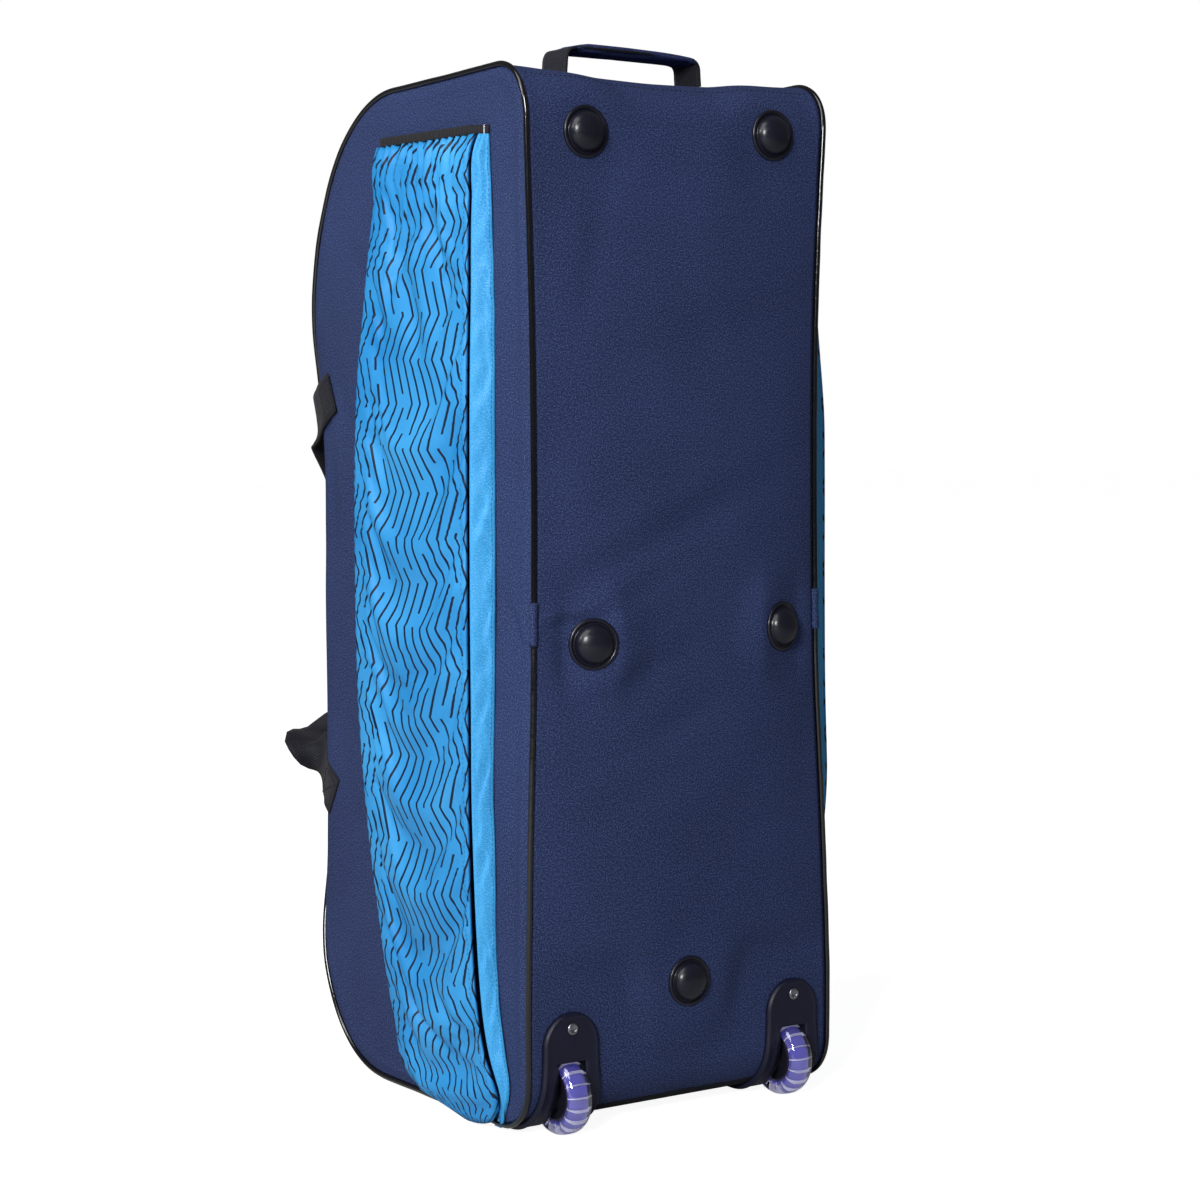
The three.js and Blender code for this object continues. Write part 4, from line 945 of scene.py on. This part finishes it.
TYRE_PROFILE = ((22.3, -9.6), (24.5, -10.6), (27.5, -11.8), (30.0, -11.6), (32.4, -10.0), (34.0, -7.4),
                (34.8, -4.0), (35.0, 0.0))
HUB_PROFILE = ((4.3, -11.4), (6.5, -11.4), (8.6, -11.0), (9.4, -9.2), (12.0, -8.4), (17.5, -8.4),
               (20.0, -9.2), (21.9, -9.0))
CORE_PROFILE = ((22.6, -6.8), (23.4, -7.6), (25.0, -7.8), (26.4, -6.6), (27.5, -3.8), (27.8, 0.0))
RIBS = 17
# A rib's length along the axle, its thickness and its radius, at the core and at the tread
RIB_ROOT = (19.8, 0.9, 24.4)
RIB_TIP = (12.0, 0.35, 33.4)


def wheel_ribs(side):
    """One thin rib, a cube drawn out and pinched, copied round the wheel."""
    whole = bmesh.new()
    for k in range(RIBS):
        rib = bmesh.ops.create_cube(whole, size=1.0)["verts"]
        for vert in rib:
            long, thick, radius = RIB_TIP if vert.co.z > 0 else RIB_ROOT
            vert.co = Vector((vert.co.x * long, vert.co.y * thick, radius)) * MM
        bmesh.ops.rotate(whole, verts=rib, matrix=Matrix.Rotation(2 * math.pi * k / RIBS, 3, "X"))
    bmesh.ops.translate(whole, verts=whole.verts, vec=wheel_centre(side))
    mesh = bpy.data.meshes.new(f"tyre_ribs_{side}")
    whole.to_mesh(mesh)
    whole.free()
    return new_piece(f"tyre_ribs_{side}", mesh)


clear_tyre = cast_polyurethane()
hub_plastic = moulded_abs("dark moulded nylon", "#14131f", 0.4, 0.2)
rib_plastic = moulded_abs("pale violet moulded polyurethane", "#e9e8fb", 0.2, 0.4)
core_plastic = moulded_abs("indigo moulded polyurethane", "#504daa", 0.15, 0.6)
for side in ("left", "right"):
    wheel = f"wheel_{side}"
    dress(spun(f"tyre_core_{side}", CORE_PROFILE, side), core_plastic, "tyre_plastic", wheel)
    dress(wheel_ribs(side), rib_plastic, "tyre_plastic", wheel)
    dress(spun(f"tyre_{side}", TYRE_PROFILE, side), clear_tyre, "tyre_plastic", wheel, f"wheel_tyre_{side}")
    dress(spun(f"hub_{side}", HUB_PROFILE, side), hub_plastic, "hub_plastic", wheel, f"wheel_hub_{side}")

# Pull handle
# Black ribbed webbing sewn down on the top end, arched through a padded sleeve of navy cloth
# that the hand closes on.
HANDLE_SPAN = 134.0
HANDLE_WIDTH = 38.0
HANDLE_RISE = 26.0
HANDLE_SETBACK = 90.0
WEBBING_THICKNESS = 2.0
SLEEVE_THICKNESS = 7.0
SLEEVE_SIDES = 36
SLEEVE_CLOTH = 1.0
SIMULATED_FRAMES = 16
# Places across the span and up the rise that the webbing and its sleeve run through
HANDLE_ROUTE = ((-1.10, 0), (-1.09, 0.34), (-1.07, 0.74), (-0.98, 0.96), (-0.7, 1), (0, 0.985),
                (0.6, 0.955), (0.94, 0.90), (1.05, 0.70), (1.07, 0.32), (1.08, 0))
SLEEVE_ROUTE = ((-0.92, 0.975), (-0.7, 1.0), (-0.35, 0.995), (0, 0.985), (0.6, 0.955), (0.92, 0.90),
                (1.01, 0.82))


def ribbed_webbing(name, dark, light):
    """Woven webbing: black, in ribs that run its length, with a dull sheen on each rib, painted into its
    colour: lighter on the crests of ribs and picks as a painted highlight, darker in the grooves between
    them as painted shade.

    Ribs and picks are drawn about twice as coarse as the real ones.
    """
    material, tree, uv = new_material(name)
    axes = add_node(tree, "SeparateXYZ", {0: uv}).outputs
    rib = calculate(tree, "PINGPONG", calculate(tree, "MULTIPLY", axes[0], 1 / (2.4 * MM)), 0.5)
    picks = calculate(tree, "MULTIPLY_ADD", axes[1], 1 / (1.6 * MM), rib)
    height = calculate(tree, "MULTIPLY_ADD", calculate(tree, "PINGPONG", picks, 0.5), 0.35, rib)
    return finish_material(material, {
        "Roughness": 0.62, "Sheen Weight": 0.05, "Specular IOR Level": 0.25,
        # Painted highlight and shade: the colour follows the height of ribs and picks, lighter on crests
        # and darker in grooves.
        "Base Color": blend(tree, height, dark, light),
        "Normal": bumps(tree, height, 0.7, 0.0012)})


def curve_through(points, per_span):
    """A smooth path through points, several steps to a span."""
    path = []
    pts = [Vector(p) for p in points]
    for i in range(len(pts) - 1):
        p0, p1, p2, p3 = pts[max(i - 1, 0)], pts[i], pts[i + 1], pts[min(i + 2, len(pts) - 1)]
        for k in range(per_span):
            t = k / per_span
            path.append(0.5 * ((2 * p1) + (p2 - p0) * t + (2 * p0 - 5 * p1 + 4 * p2 - p3) * t * t
                               + (3 * p1 - p0 - 3 * p2 + p3) * t ** 3))
    return path + [pts[-1]]


def handle_path(route):
    foot = (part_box("top_handle_webbing")[0].z - MIDDLE.z) / MM
    return curve_through([(across * HANDLE_SPAN / 2, BASE_Y + HANDLE_SETBACK, foot + rise * HANDLE_RISE)
                          for across, rise in route], 6)


def sleeve_rows():
    """Rings round the webbing: flat ovals that fill out between the sleeve's ends."""
    path = handle_path(SLEEVE_ROUTE)
    rows = []
    for i, spot in enumerate(path):
        over = Vector((0, 1, 0)).cross(way_along(path, i)) * -1
        share = i / (len(path) - 1)
        fullness = 0.55 + 0.4 * smooth(min(share, 1 - share) / 0.16)
        row = []
        for k in range(SLEEVE_SIDES):
            angle = 2 * math.pi * k / SLEEVE_SIDES
            c, s = math.cos(angle), math.sin(angle)
            across = math.copysign(abs(c) ** 0.7, c) * (HANDLE_WIDTH / 2 + 0.6)
            high = math.copysign(abs(s) ** 0.9, s) * SLEEVE_THICKNESS / 2 * fullness
            row.append(spot + Vector((0, across, 0)) + over * high)
        rows.append(row)
    return rows


def sleeve_hold(column, row, count):
    """The sleeve is sewn down at its two ends and free between them."""
    return 1.0 if min(row, count - 1 - row) < 2 else 0.0


def simulate(piece, width, hold_at, gravity, limit, **settings):
    """A short cloth simulation of a sheet of rows, applied to it.

    hold_at says how firmly a column and row are held, and no point moves farther than the limit.
    """
    start = [v.co.copy() for v in piece.data.vertices]
    sewn = piece.vertex_groups.new(name="sewn")
    for k in range(len(start)):
        sewn.add([k], hold_at(k % width, k // width, len(start) // width), "REPLACE")
    cloth = piece.modifiers.new("cloth", "CLOTH")
    cloth.settings.vertex_group_mass = "sewn"
    cloth.settings.effector_weights.gravity = gravity
    for key, value in settings.items():
        setattr(cloth.settings, key, value)
    cloth.point_cache.frame_start, cloth.point_cache.frame_end = 1, SIMULATED_FRAMES
    for step in range(1, SIMULATED_FRAMES + 1):
        bpy.context.scene.frame_set(step)
    bpy.ops.object.select_all(action="DESELECT")
    piece.select_set(True)
    bpy.context.view_layer.objects.active = piece
    bpy.ops.object.modifier_apply(modifier="cloth")
    for vert, was in zip(piece.data.vertices, start):
        move = vert.co - was
        vert.co = was + move * min(1.0, limit * MM / max(move.length, 1e-9))
    piece.vertex_groups.clear()
    bpy.context.scene.frame_set(1)


webbing = ribbed_webbing("black polypropylene webbing", "#08080f", "#1b1b2a")
across_handle = [Vector((0, HANDLE_WIDTH * (j / 8 - 0.5), 0)) for j in range(9)]
handle_web = grid_piece("pull_handle_webbing",
                        [[spot + step for step in across_handle] for spot in handle_path(HANDLE_ROUTE)])
thicken(handle_web, WEBBING_THICKNESS, 0.0)
dress(handle_web, webbing, "webbing", "bag", "top_handle_webbing")

rings = sleeve_rows()
sleeve = grid_piece("pull_handle_sleeve", rings, closed=True,
                    outward=on_bag(handle_path(SLEEVE_ROUTE)[len(rings) // 2]))
simulate(sleeve, SLEEVE_SIDES, sleeve_hold, 0.0, 1.5, quality=5, use_pressure=True,
         uniform_pressure_force=4.0, shrink_min=-0.03, bending_stiffness=0.3)
thicken(sleeve, SLEEVE_CLOTH)
navy_sleeve = woven_polyester("navy 600 denier polyester, handle sleeve", "#171c3a", "#242b4f", "#4f5c94",
                              NAVY_PITCH)
dress(sleeve, navy_sleeve, "navy_fabric", "bag", "top_handle_grip")

# Carry handles
# Two straps of the same webbing, sewn to the sides with their ends folded under, that come
# together over the lid when the bag is carried.
CARRY_WIDTH = 40.0
CARRY_LIFT = 1.2
CARRY_STEPS = 7
# Share of the half width (0 lies on the side's cloth), of the depth and of the length, and the strap's turn
CARRY = ((0.000, 0.866, 0.701, -26), (0.000, 0.900, 0.694, -26), (0.000, 0.934, 0.686, -24),
         (0.965, 0.998, 0.672, -15), (0.830, 1.045, 0.650, 0), (0.680, 1.070, 0.605, 0),
         (0.560, 1.080, 0.530, 0), (0.560, 1.080, 0.450, 0), (0.590, 1.088, 0.390, 0),
         (0.680, 1.090, 0.342, 0), (0.985, 1.066, 0.331, 4), (0.955, 0.998, 0.316, 14),
         (0.000, 0.948, 0.298, 20), (0.000, 0.914, 0.288, 20), (0.000, 0.880, 0.279, 20))


def carry_rows(side):
    """Rows across the strap: flat on the side at its ends, turned to face the lid between them."""
    sign = sign_of(side)
    spots = []
    for out, deep, up, _ in CARRY:
        y, z = BASE_Y + deep * BAG_DEPTH, SEAM_HEIGHT + up * BAG_LENGTH
        reach = side_reach(side, y, z) + CARRY_LIFT if out == 0 else out * HALF_WIDTH
        spots.append((sign * reach, y, z))
    path = curve_through(spots, CARRY_STEPS)
    rows = []
    for i, spot in enumerate(path):
        k = min(i // CARRY_STEPS, len(CARRY) - 2)
        turn = math.radians(CARRY[k][3] + (CARRY[k + 1][3] - CARRY[k][3]) * (i / CARRY_STEPS - k))
        along = way_along(path, i)
        past = smooth((spot.y - LID_Y) / (0.06 * BAG_DEPTH))
        width = Vector((0, -math.sin(turn), math.cos(turn))).lerp(Vector((-sign, 0, 0)), past * 0.97)
        width = (width - along * width.dot(along)).normalized()
        row = []
        for j in range(9):
            point = spot + width * (CARRY_WIDTH * (j / 8 - 0.5))
            if point.y < LID_Y:
                floor = side_reach(side, point.y, point.z) + CARRY_LIFT
                point.x = sign * max(sign * point.x, floor)
            row.append(point)
        rows.append(row)
    return rows


webbing_thread = sewing_thread("black bonded polyester thread", "#14141f")
for side in ("left", "right"):
    rows = carry_rows(side)
    strap = grid_piece(f"carry_webbing_{side}", rows)
    thicken(strap, WEBBING_THICKNESS, 1.0)
    dress(strap, webbing, "webbing", "bag", f"carry_handle_{side}")
    for end_name, first, last in (("top", 1, 12), ("bottom", len(rows) - 13, len(rows) - 2)):
        upper, lower = rows[first], rows[last]
        corners = upper[1], lower[1], lower[7], upper[7], upper[1], lower[7]
        box = [a + (b - a) * k / 8 for a, b in zip(corners, corners[1:]) for k in range(8)] + [corners[-1]]
        box = [(sign_of(side) * (abs(p.x) + WEBBING_THICKNESS + 0.2), p.y, p.z) for p in box]
        stitch_row(f"box_stitches_{side}_{end_name}", box, (sign_of(side), 0, 0), webbing_thread, "webbing",
                   pitch=3.6, length=2.6, thick=0.4)

# Side pockets
# A long pocket of light blue polyester on each side, sewn in along the base and the lid: a plain
# pleated gusset, and a printed front gathered under elastic at the mouth, sagging at its foot.
POCKET_DEPTH = {"left": 24.0, "right": 52.0}
FOLD_EXTRA = {"left": 0.0, "right": 6.0}
POCKET_SEAM = 0.8
POCKET_CLOTH = 1.0
POCKET_FOOT = 0.007
POCKET_TOP = 0.943
FOOT_SAG = 9.5
MOUTH_GAP = 11.0
PLEAT = 5.5
LIP = 3.0
GATHERS = 15
# Share across the front at which its crown lies, and across the gusset at which it tucks in
CROWN_AT = 0.93
TUCK_AT = 0.75
FRONT_COLUMNS = 72
FRONT_ROWS = 152
GUSSET_COLUMNS = 22
GUSSET_ROWS = 176
# Up the bag, then places from the base: gusset seam, fold, crown and lid seam; then how far the fold
# and the crown stand out
POCKET = ((0.007, 0.117, 0.128, 0.280, 0.300, 0.08, 0.08), (0.018, 0.091, 0.106, 0.435, 0.451, 0.22, 0.28),
          (0.038, 0.085, 0.104, 0.505, 0.520, 0.38, 0.42), (0.068, 0.099, 0.125, 0.525, 0.539, 0.58, 0.54),
          (0.112, 0.120, 0.144, 0.547, 0.560, 0.67, 0.62), (0.185, 0.134, 0.155, 0.570, 0.579, 0.75, 0.75),
          (0.286, 0.132, 0.157, 0.600, 0.608, 0.83, 0.88), (0.387, 0.130, 0.160, 0.615, 0.621, 0.85, 1.00),
          (0.502, 0.128, 0.163, 0.621, 0.627, 0.87, 1.04), (0.694, 0.128, 0.163, 0.621, 0.627, 0.87, 1.00),
          (0.794, 0.128, 0.163, 0.615, 0.621, 0.80, 0.75), (0.893, 0.136, 0.173, 0.605, 0.616, 0.60, 0.48),
          (0.920, 0.140, 0.168, 0.602, 0.618, 0.38, 0.30), (0.943, 0.144, 0.163, 0.600, 0.619, 0.00, 0.00))
# Long soft folds of the front: share across, share up, half length and half width in mm, slant, depth
POCKET_FOLDS = (
    (0.30, 0.845, 46, 9, 62, 6.5), (0.62, 0.835, 40, 8, 116, 5.6), (0.48, 0.780, 52, 10, 70, 4.6),
    (0.78, 0.700, 90, 12, 84, 2.2), (0.22, 0.560, 90, 12, 96, 1.8), (0.55, 0.420, 80, 13, 80, 1.8),
    (0.80, 0.300, 90, 11, 92, 2.2), (0.42, 0.170, 60, 10, 66, 4.0), (0.66, 0.115, 64, 9, 58, 6.0),
    (0.40, 0.070, 50, 8, 38, 5.0), (0.22, 0.095, 44, 8, 50, 4.0), (0.12, 0.900, 30, 6, 74, 3.0))
# The print: width of a lane, length of a zigzag, how far it swings and how often its line breaks
LANE = 12.0
ZIGZAG = 78.0
ZIGZAG_SHIFT = 18.0
DASH = 118.0


def pocket_lines(side, up):
    """A pocket's seams, fold and crown at a share up the bag, and how far they stand out there."""
    depth = POCKET_DEPTH[side]
    mouth = smooth((up - (POCKET_TOP - 0.06)) / 0.06)
    seam, fold, crown, end = (BASE_Y + table_value(POCKET, k, up) * BAG_DEPTH for k in (1, 2, 3, 4))
    fold_out, crown_out = (MOUTH_GAP * mouth + depth * max(table_value(POCKET, k, up), 0) + POCKET_SEAM
                           for k in (5, 6))
    fold_out += FOLD_EXTRA[side] * smooth((up - 0.2) / 0.12) * smooth((0.78 - up) / 0.12)
    return SimpleNamespace(z=SEAM_HEIGHT + up * BAG_LENGTH, seam=seam, fold=fold, crown=crown, end=end,
                           fold_out=fold_out, crown_out=crown_out, mouth=mouth,
                           sag=FOOT_SAG * smooth((0.075 - up) / 0.068))


def front_out(side, up, t):
    """How far the pocket's front stands off the side at a share across it, with its gathers and folds."""
    at = pocket_lines(side, up)
    front = min(t / CROWN_AT, 1.0)
    belly = 0.14 * POCKET_DEPTH[side] * math.sin(math.pi * front) * (1 - at.mouth) * smooth(up / 0.1)
    out = at.fold_out + (at.crown_out - at.fold_out) * front + belly
    if t > CROWN_AT:
        out = POCKET_SEAM + (at.crown_out - POCKET_SEAM) * (1 - ((t - CROWN_AT) / (1 - CROWN_AT)) ** 2)
    free = min(1.0, math.sin(math.pi * min(t / 0.96, 1)) * 2.2)
    below = (POCKET_TOP - up) * BAG_LENGTH
    gather = math.exp(-(below / 38) ** 1.5) + 0.35 * math.exp(-((below - 60) / 45) ** 2)
    fan = t * GATHERS + 0.9 * cloth_noise(t * 7, below / 30, 1.0, 51)
    ripple = 2.3 * gather * math.sin(2 * math.pi * fan) * (0.75 + 0.5 * cloth_noise(t * 6, 3, 1, 52)) * free
    slack = 1.8 * cloth_noise(t * 170, at.z, 60, 54) + 0.6 * cloth_noise(t * 250, at.z * 0.6, 24, 55)
    slack *= smooth((1.1 - t) / 0.4)
    folds = [((across if side == "left" else 1 - across * 0.9) * 150, high * BAG_LENGTH, *rest)
             for across, high, *rest in POCKET_FOLDS]
    slack -= fold_depth(folds, t * 150, up * BAG_LENGTH)
    return max(out + ripple + slack * free * (1 - 0.7 * at.mouth), POCKET_SEAM + POCKET_CLOTH)


def pocket_front(side):
    """The printed front: from its lip over the pleat to the seam on the lid side, hanging at its foot."""
    sign = sign_of(side)
    rows = []
    for i in range(FRONT_ROWS + 1):
        up = POCKET_FOOT + (POCKET_TOP - POCKET_FOOT) * i / FRONT_ROWS
        at = pocket_lines(side, up)
        row = []
        for j in range(FRONT_COLUMNS + 1):
            t = j / FRONT_COLUMNS
            y = at.fold + (at.crown - at.fold) * min(t / CROWN_AT, 1.0)
            y += (at.end - at.crown) * max(t - CROWN_AT, 0) / (1 - CROWN_AT)
            out = front_out(side, up, t) + 0.9 * at.sag * math.sin(math.pi * t) ** 0.5
            z = at.z - at.sag * math.sin(math.pi * t) ** 0.3
            row.append((sign * (side_reach(side, y, at.z) + out), y, z))
        x, y, z = row[0]
        rows.append([(x - sign * LIP, y + 0.9, z)] + row)
    return grid_piece(f"pocket_front_{side}", rows)


def front_hold(column, row, count):
    """The front is sewn at its edges and held more firmly towards the lid."""
    from_lid = FRONT_COLUMNS + 1 - column
    edge = min(column - 1, from_lid, row, count - 1 - row)
    return 1.0 if edge <= 0 else max(0.9 * smooth((18 - from_lid) / 12), 0.5 - 0.12 * edge)


def gusset_point(side, up, t):
    """The plain gusset: out from its seam in slack folds, then tucked in to the pleat under the front."""
    at = pocket_lines(side, up)
    top = max(at.fold_out - 3.2, POCKET_SEAM)
    seam = at.seam - 5.0 * smooth((0.34 - up) / 0.12) * smooth(up / 0.05)
    s = min(t / TUCK_AT, 1.0)
    tuck = PLEAT * (0.42 + 0.6 * smooth((0.35 - up) / 0.2))
    y = seam + (at.fold - tuck - seam) * s ** 1.3
    out = POCKET_SEAM + (top - POCKET_SEAM) * s ** 0.85
    slack = 4.2 * cloth_noise(s * 30, at.z + 34 * s, 22, 56)
    slack += 2.2 * cloth_noise(s * 30, at.z - 26 * s, 11, 57)
    gather = math.exp(-((POCKET_TOP - up) * BAG_LENGTH / 45) ** 1.5)
    out += (slack + 1.6 * gather * math.sin(2 * math.pi * (2.2 * s + 0.2))) * math.sin(math.pi * s)
    if t > TUCK_AT:
        deeper = (t - TUCK_AT) / (1 - TUCK_AT)
        y += 2.0 * PLEAT * deeper
        out -= 9.0 * smooth(deeper * 1.3)
    reach = side_reach(side, y, at.z) + max(out, POCKET_SEAM)
    return sign_of(side) * reach, y, at.z - at.sag * s


def printed_polyester():
    """Light blue polyester, satin from its filament yarn, with a screen print of thin broken zigzag lines.

    The grain is drawn about three times coarser than the real one.
    """
    material, tree, uv = new_material("printed light blue polyester")
    axes = add_node(tree, "SeparateXYZ", {0: uv}).outputs
    lanes = calculate(tree, "MULTIPLY", axes[0], 1 / (LANE * MM))
    leg = calculate(tree, "PINGPONG", calculate(tree, "MULTIPLY", axes[1], 1 / (ZIGZAG * MM)), 0.5)
    bent = calculate(tree, "MULTIPLY_ADD", leg, 2 * ZIGZAG_SHIFT / LANE, lanes)
    off_line = calculate(tree, "ABSOLUTE", calculate(tree, "SUBTRACT", calculate(tree, "FRACT", bent), 0.5))
    seed = calculate(tree, "ADD", calculate(tree, "FLOOR", bent), 7.7)
    chance = add_node(tree, "TexWhiteNoise", {"noise_dimensions": "1D", "W": seed}).outputs[0]
    run = calculate(tree, "FRACT", calculate(tree, "MULTIPLY_ADD", axes[1], 1 / (DASH * MM), chance))
    dash = calculate(tree, "LESS_THAN", run, 0.9)
    inked = calculate(tree, "MULTIPLY", remap(tree, off_line, 0.1, 0.125, 1.0, 0.0), dash)
    cloth = ramp(tree, noise_at(tree, uv, 9.0), 0.3, "#1e7ab8", 0.7, "#3893ce")
    return finish_material(material, {
        "Roughness": 0.5, "Specular IOR Level": 0.3, "Base Color": blend(tree, inked, cloth, "#0a1730"),
        "Normal": bumps(tree, noise_at(tree, uv, 700.0), 0.2, 0.0005)})


blue_plain = woven_polyester("plain light blue polyester", "#1b80be", "#3697d2", "#74bce8", 1.0,
                             sheen=0.12, roughness=0.42, relief=0.2)
blue_print = printed_polyester()
blue_thread = sewing_thread("blue polyester thread", "#15639c")
seam_look = {"pitch": 4.4, "length": 3.0, "thick": 0.32}
for side in ("left", "right"):
    front = pocket_front(side)
    simulate(front, FRONT_COLUMNS + 2, front_hold, 0.35, 6, quality=4, mass=0.12, tension_stiffness=12,
             compression_stiffness=12, shear_stiffness=4, bending_stiffness=0.4, shrink_min=-0.026)
    thicken(front, POCKET_CLOTH)
    dress(front, blue_print, "blue_fabric", "bag", f"side_pocket_{side}")
    gusset_rows = []
    for i in range(GUSSET_ROWS + 1):
        up = POCKET_FOOT + (POCKET_TOP - POCKET_FOOT) * i / GUSSET_ROWS
        gusset_rows.append([gusset_point(side, up, j / GUSSET_COLUMNS) for j in range(GUSSET_COLUMNS + 1)])
    gusset = grid_piece(f"pocket_gusset_{side}", gusset_rows)
    thicken(gusset, POCKET_CLOTH)
    dress(gusset, blue_plain, "blue_fabric", "bag")
    seam_path = [gusset_point(side, 0.03 + 0.9 * k / 160, 0.1) for k in range(161)]
    stitch_row(f"gusset_stitches_{side}", seam_path, (sign_of(side), -1, 0), blue_thread, "blue_fabric",
               **seam_look)
    width = FRONT_COLUMNS + 2
    lip_path = [(front.data.vertices[row * width + 3].co - MIDDLE) / MM for row in range(4, 150)]
    stitch_row(f"lip_stitches_{side}", lip_path, (sign_of(side), 0, 0), blue_thread, "blue_fabric",
               **seam_look)

# Pocket binding
# Black elastic sewn over the pocket's mouth, which draws the printed cloth into gathers, held at
# each end by a white bar tack.
ELASTIC_HEIGHT = SEAM_HEIGHT + POCKET_TOP * BAG_LENGTH - 1.5
# Section of the elastic folded over the mouth: height, and how far it stands proud of the cloth
ELASTIC = ((1, -0.6), (1.2, 0.5), (2.5, 1.1), (5, 1.0), (7.8, 1.0), (9.0, 0.4), (9.3, -1.0), (8, -2.4),
           (4, -2.6), (1.6, -2.0))


def mouth_spot(side, t):
    """The mouth's place from the base and its distance from the side, at a share along it."""
    at = pocket_lines(side, POCKET_TOP)
    out = (MOUTH_GAP + POCKET_SEAM) * smooth(min(t, 1 - t) / 0.09) + POCKET_SEAM
    return at.seam + (at.end - at.seam) * t, out


def pocket_binding(side):
    rows = []
    for lift, proud in ELASTIC:
        row = []
        for j in range(61):
            y, out = mouth_spot(side, j / 60)
            ripple = 0.35 * math.sin(2 * math.pi * 23 * j / 60) * math.sin(math.pi * j / 60)
            reach = side_reach(side, y, ELASTIC_HEIGHT) + max(out + proud + ripple, 0.4)
            row.append((sign_of(side) * reach, y, ELASTIC_HEIGHT + lift))
        rows.append(row)
    piece = grid_piece(f"binding_{side}", rows + rows[:1],
                       outward=on_bag((sign_of(side) * 150, 0, ELASTIC_HEIGHT + 5)))
    reshape(piece.data, weld=True, caps="smooth")
    return piece


def bar_tack(side, end_name, t):
    """A bar tack: thread run to and fro across the end of the elastic."""
    y, out = mouth_spot(side, t)
    path = []
    for k in range(11):
        at_y = y + (1.3 if k % 2 else -1.3)
        reach = side_reach(side, at_y, ELASTIC_HEIGHT) + out + 1.3
        path.append((sign_of(side) * reach, at_y, ELASTIC_HEIGHT + 1.6 + 0.75 * k))
    pitch = (Vector(path[1]) - Vector(path[0])).length
    stitch_row(f"bar_tack_{side}_{end_name}", path, (sign_of(side), 0, 0), white_thread, "webbing",
               pitch=pitch, length=pitch, thick=0.3)


elastic = ribbed_webbing("black woven elastic", "#0a0a0d", "#1e1e25")
white_thread = sewing_thread("white polyester thread", "#c9cbd6")
for side in ("left", "right"):
    dress(pocket_binding(side), elastic, "webbing", "bag", f"pocket_binding_{side}")
    bar_tack(side, "front", 0.022)
    bar_tack(side, "back", 0.978)

# Floor, lights and camera
# A pale studio floor that runs into white paper, three soft lights on the photographer's side, and a
# camera where the photograph was taken.
WHITE = (1, 1, 1, 1)
SOFT_FILL = 0.12
FLOOR_GLOW = 0.93
LIGHTS = (("left", (-3.1, 0.1, 2.0), 0.8, 29.0), ("front", (-3.1, -2.5, 1.9), 1.1, 147.0),
          ("top", (-2.2, -0.7, 3.3), 2.2, 58.0))
LIT_HEIGHT = 0.45
YAW, PITCH = math.radians(34.737), math.radians(4.3632)
CAMERA_AT = (-1427.2, -2111.7, 645.1)
# Focal length in pixels of the photograph's width, and the sensor's width in millimetres
FOCAL_PIXELS, PHOTO_PIXELS, SENSOR = 2739.19, 1200, 36.0


def seen(tree):
    """1 where a ray comes from the camera, straight or through the clear tyres, and 0 for other rays."""
    ray = add_node(tree, "LightPath", {}).outputs
    return calculate(tree, "MAXIMUM", ray["Is Camera Ray"], ray["Is Transmission Ray"])


bpy.ops.object.select_all(action="DESELECT")
bpy.ops.mesh.primitive_plane_add(size=30, location=(0, 0, 0))
floor = bpy.context.object
floor.name = "studio_floor"
pale_floor, tree, _ = new_material("pale studio floor", "object")
floor.data.materials.append(finish_material(pale_floor, {
    "Base Color": linear("#b4b4b4"), "Roughness": 0.8, "Emission Color": WHITE,
    "Emission Strength": calculate(tree, "MULTIPLY", seen(tree), FLOOR_GLOW)}))

world = bpy.data.worlds.new("studio")
bpy.context.scene.world = world
world.use_nodes = True
tree = world.node_tree
tree.nodes.clear()
soft, paper = (add_node(tree, "Background", {"Color": WHITE, "Strength": strength}).outputs[0]
               for strength in (SOFT_FILL, 1.0))
sky = add_node(tree, "MixShader", {0: seen(tree), 1: soft, 2: paper})
add_node(tree, "OutputWorld", {"Surface": sky.outputs[0]})

for name, place, size, power in LIGHTS:
    light = bpy.data.lights.new(name, "AREA")
    light.size, light.energy = size, power
    lamp = new_piece(name, light)
    lamp.location = place
    lamp.rotation_euler = (Vector((0, 0, LIT_HEIGHT)) - Vector(place)).to_track_quat("-Z", "Y").to_euler()

camera_data = bpy.data.cameras.new("camera")
camera_data.sensor_width = SENSOR
camera_data.lens = FOCAL_PIXELS / PHOTO_PIXELS * SENSOR
camera_data.clip_end = 100.0
camera = new_piece("camera", camera_data)
camera.location = on_bag(CAMERA_AT)
look = Vector((math.sin(YAW) * math.cos(PITCH), math.cos(YAW) * math.cos(PITCH), -math.sin(PITCH)))
camera.rotation_euler = look.to_track_quat("-Z", "Y").to_euler()
bpy.context.scene.camera = camera
bpy.context.scene.view_settings.view_transform = "Standard"
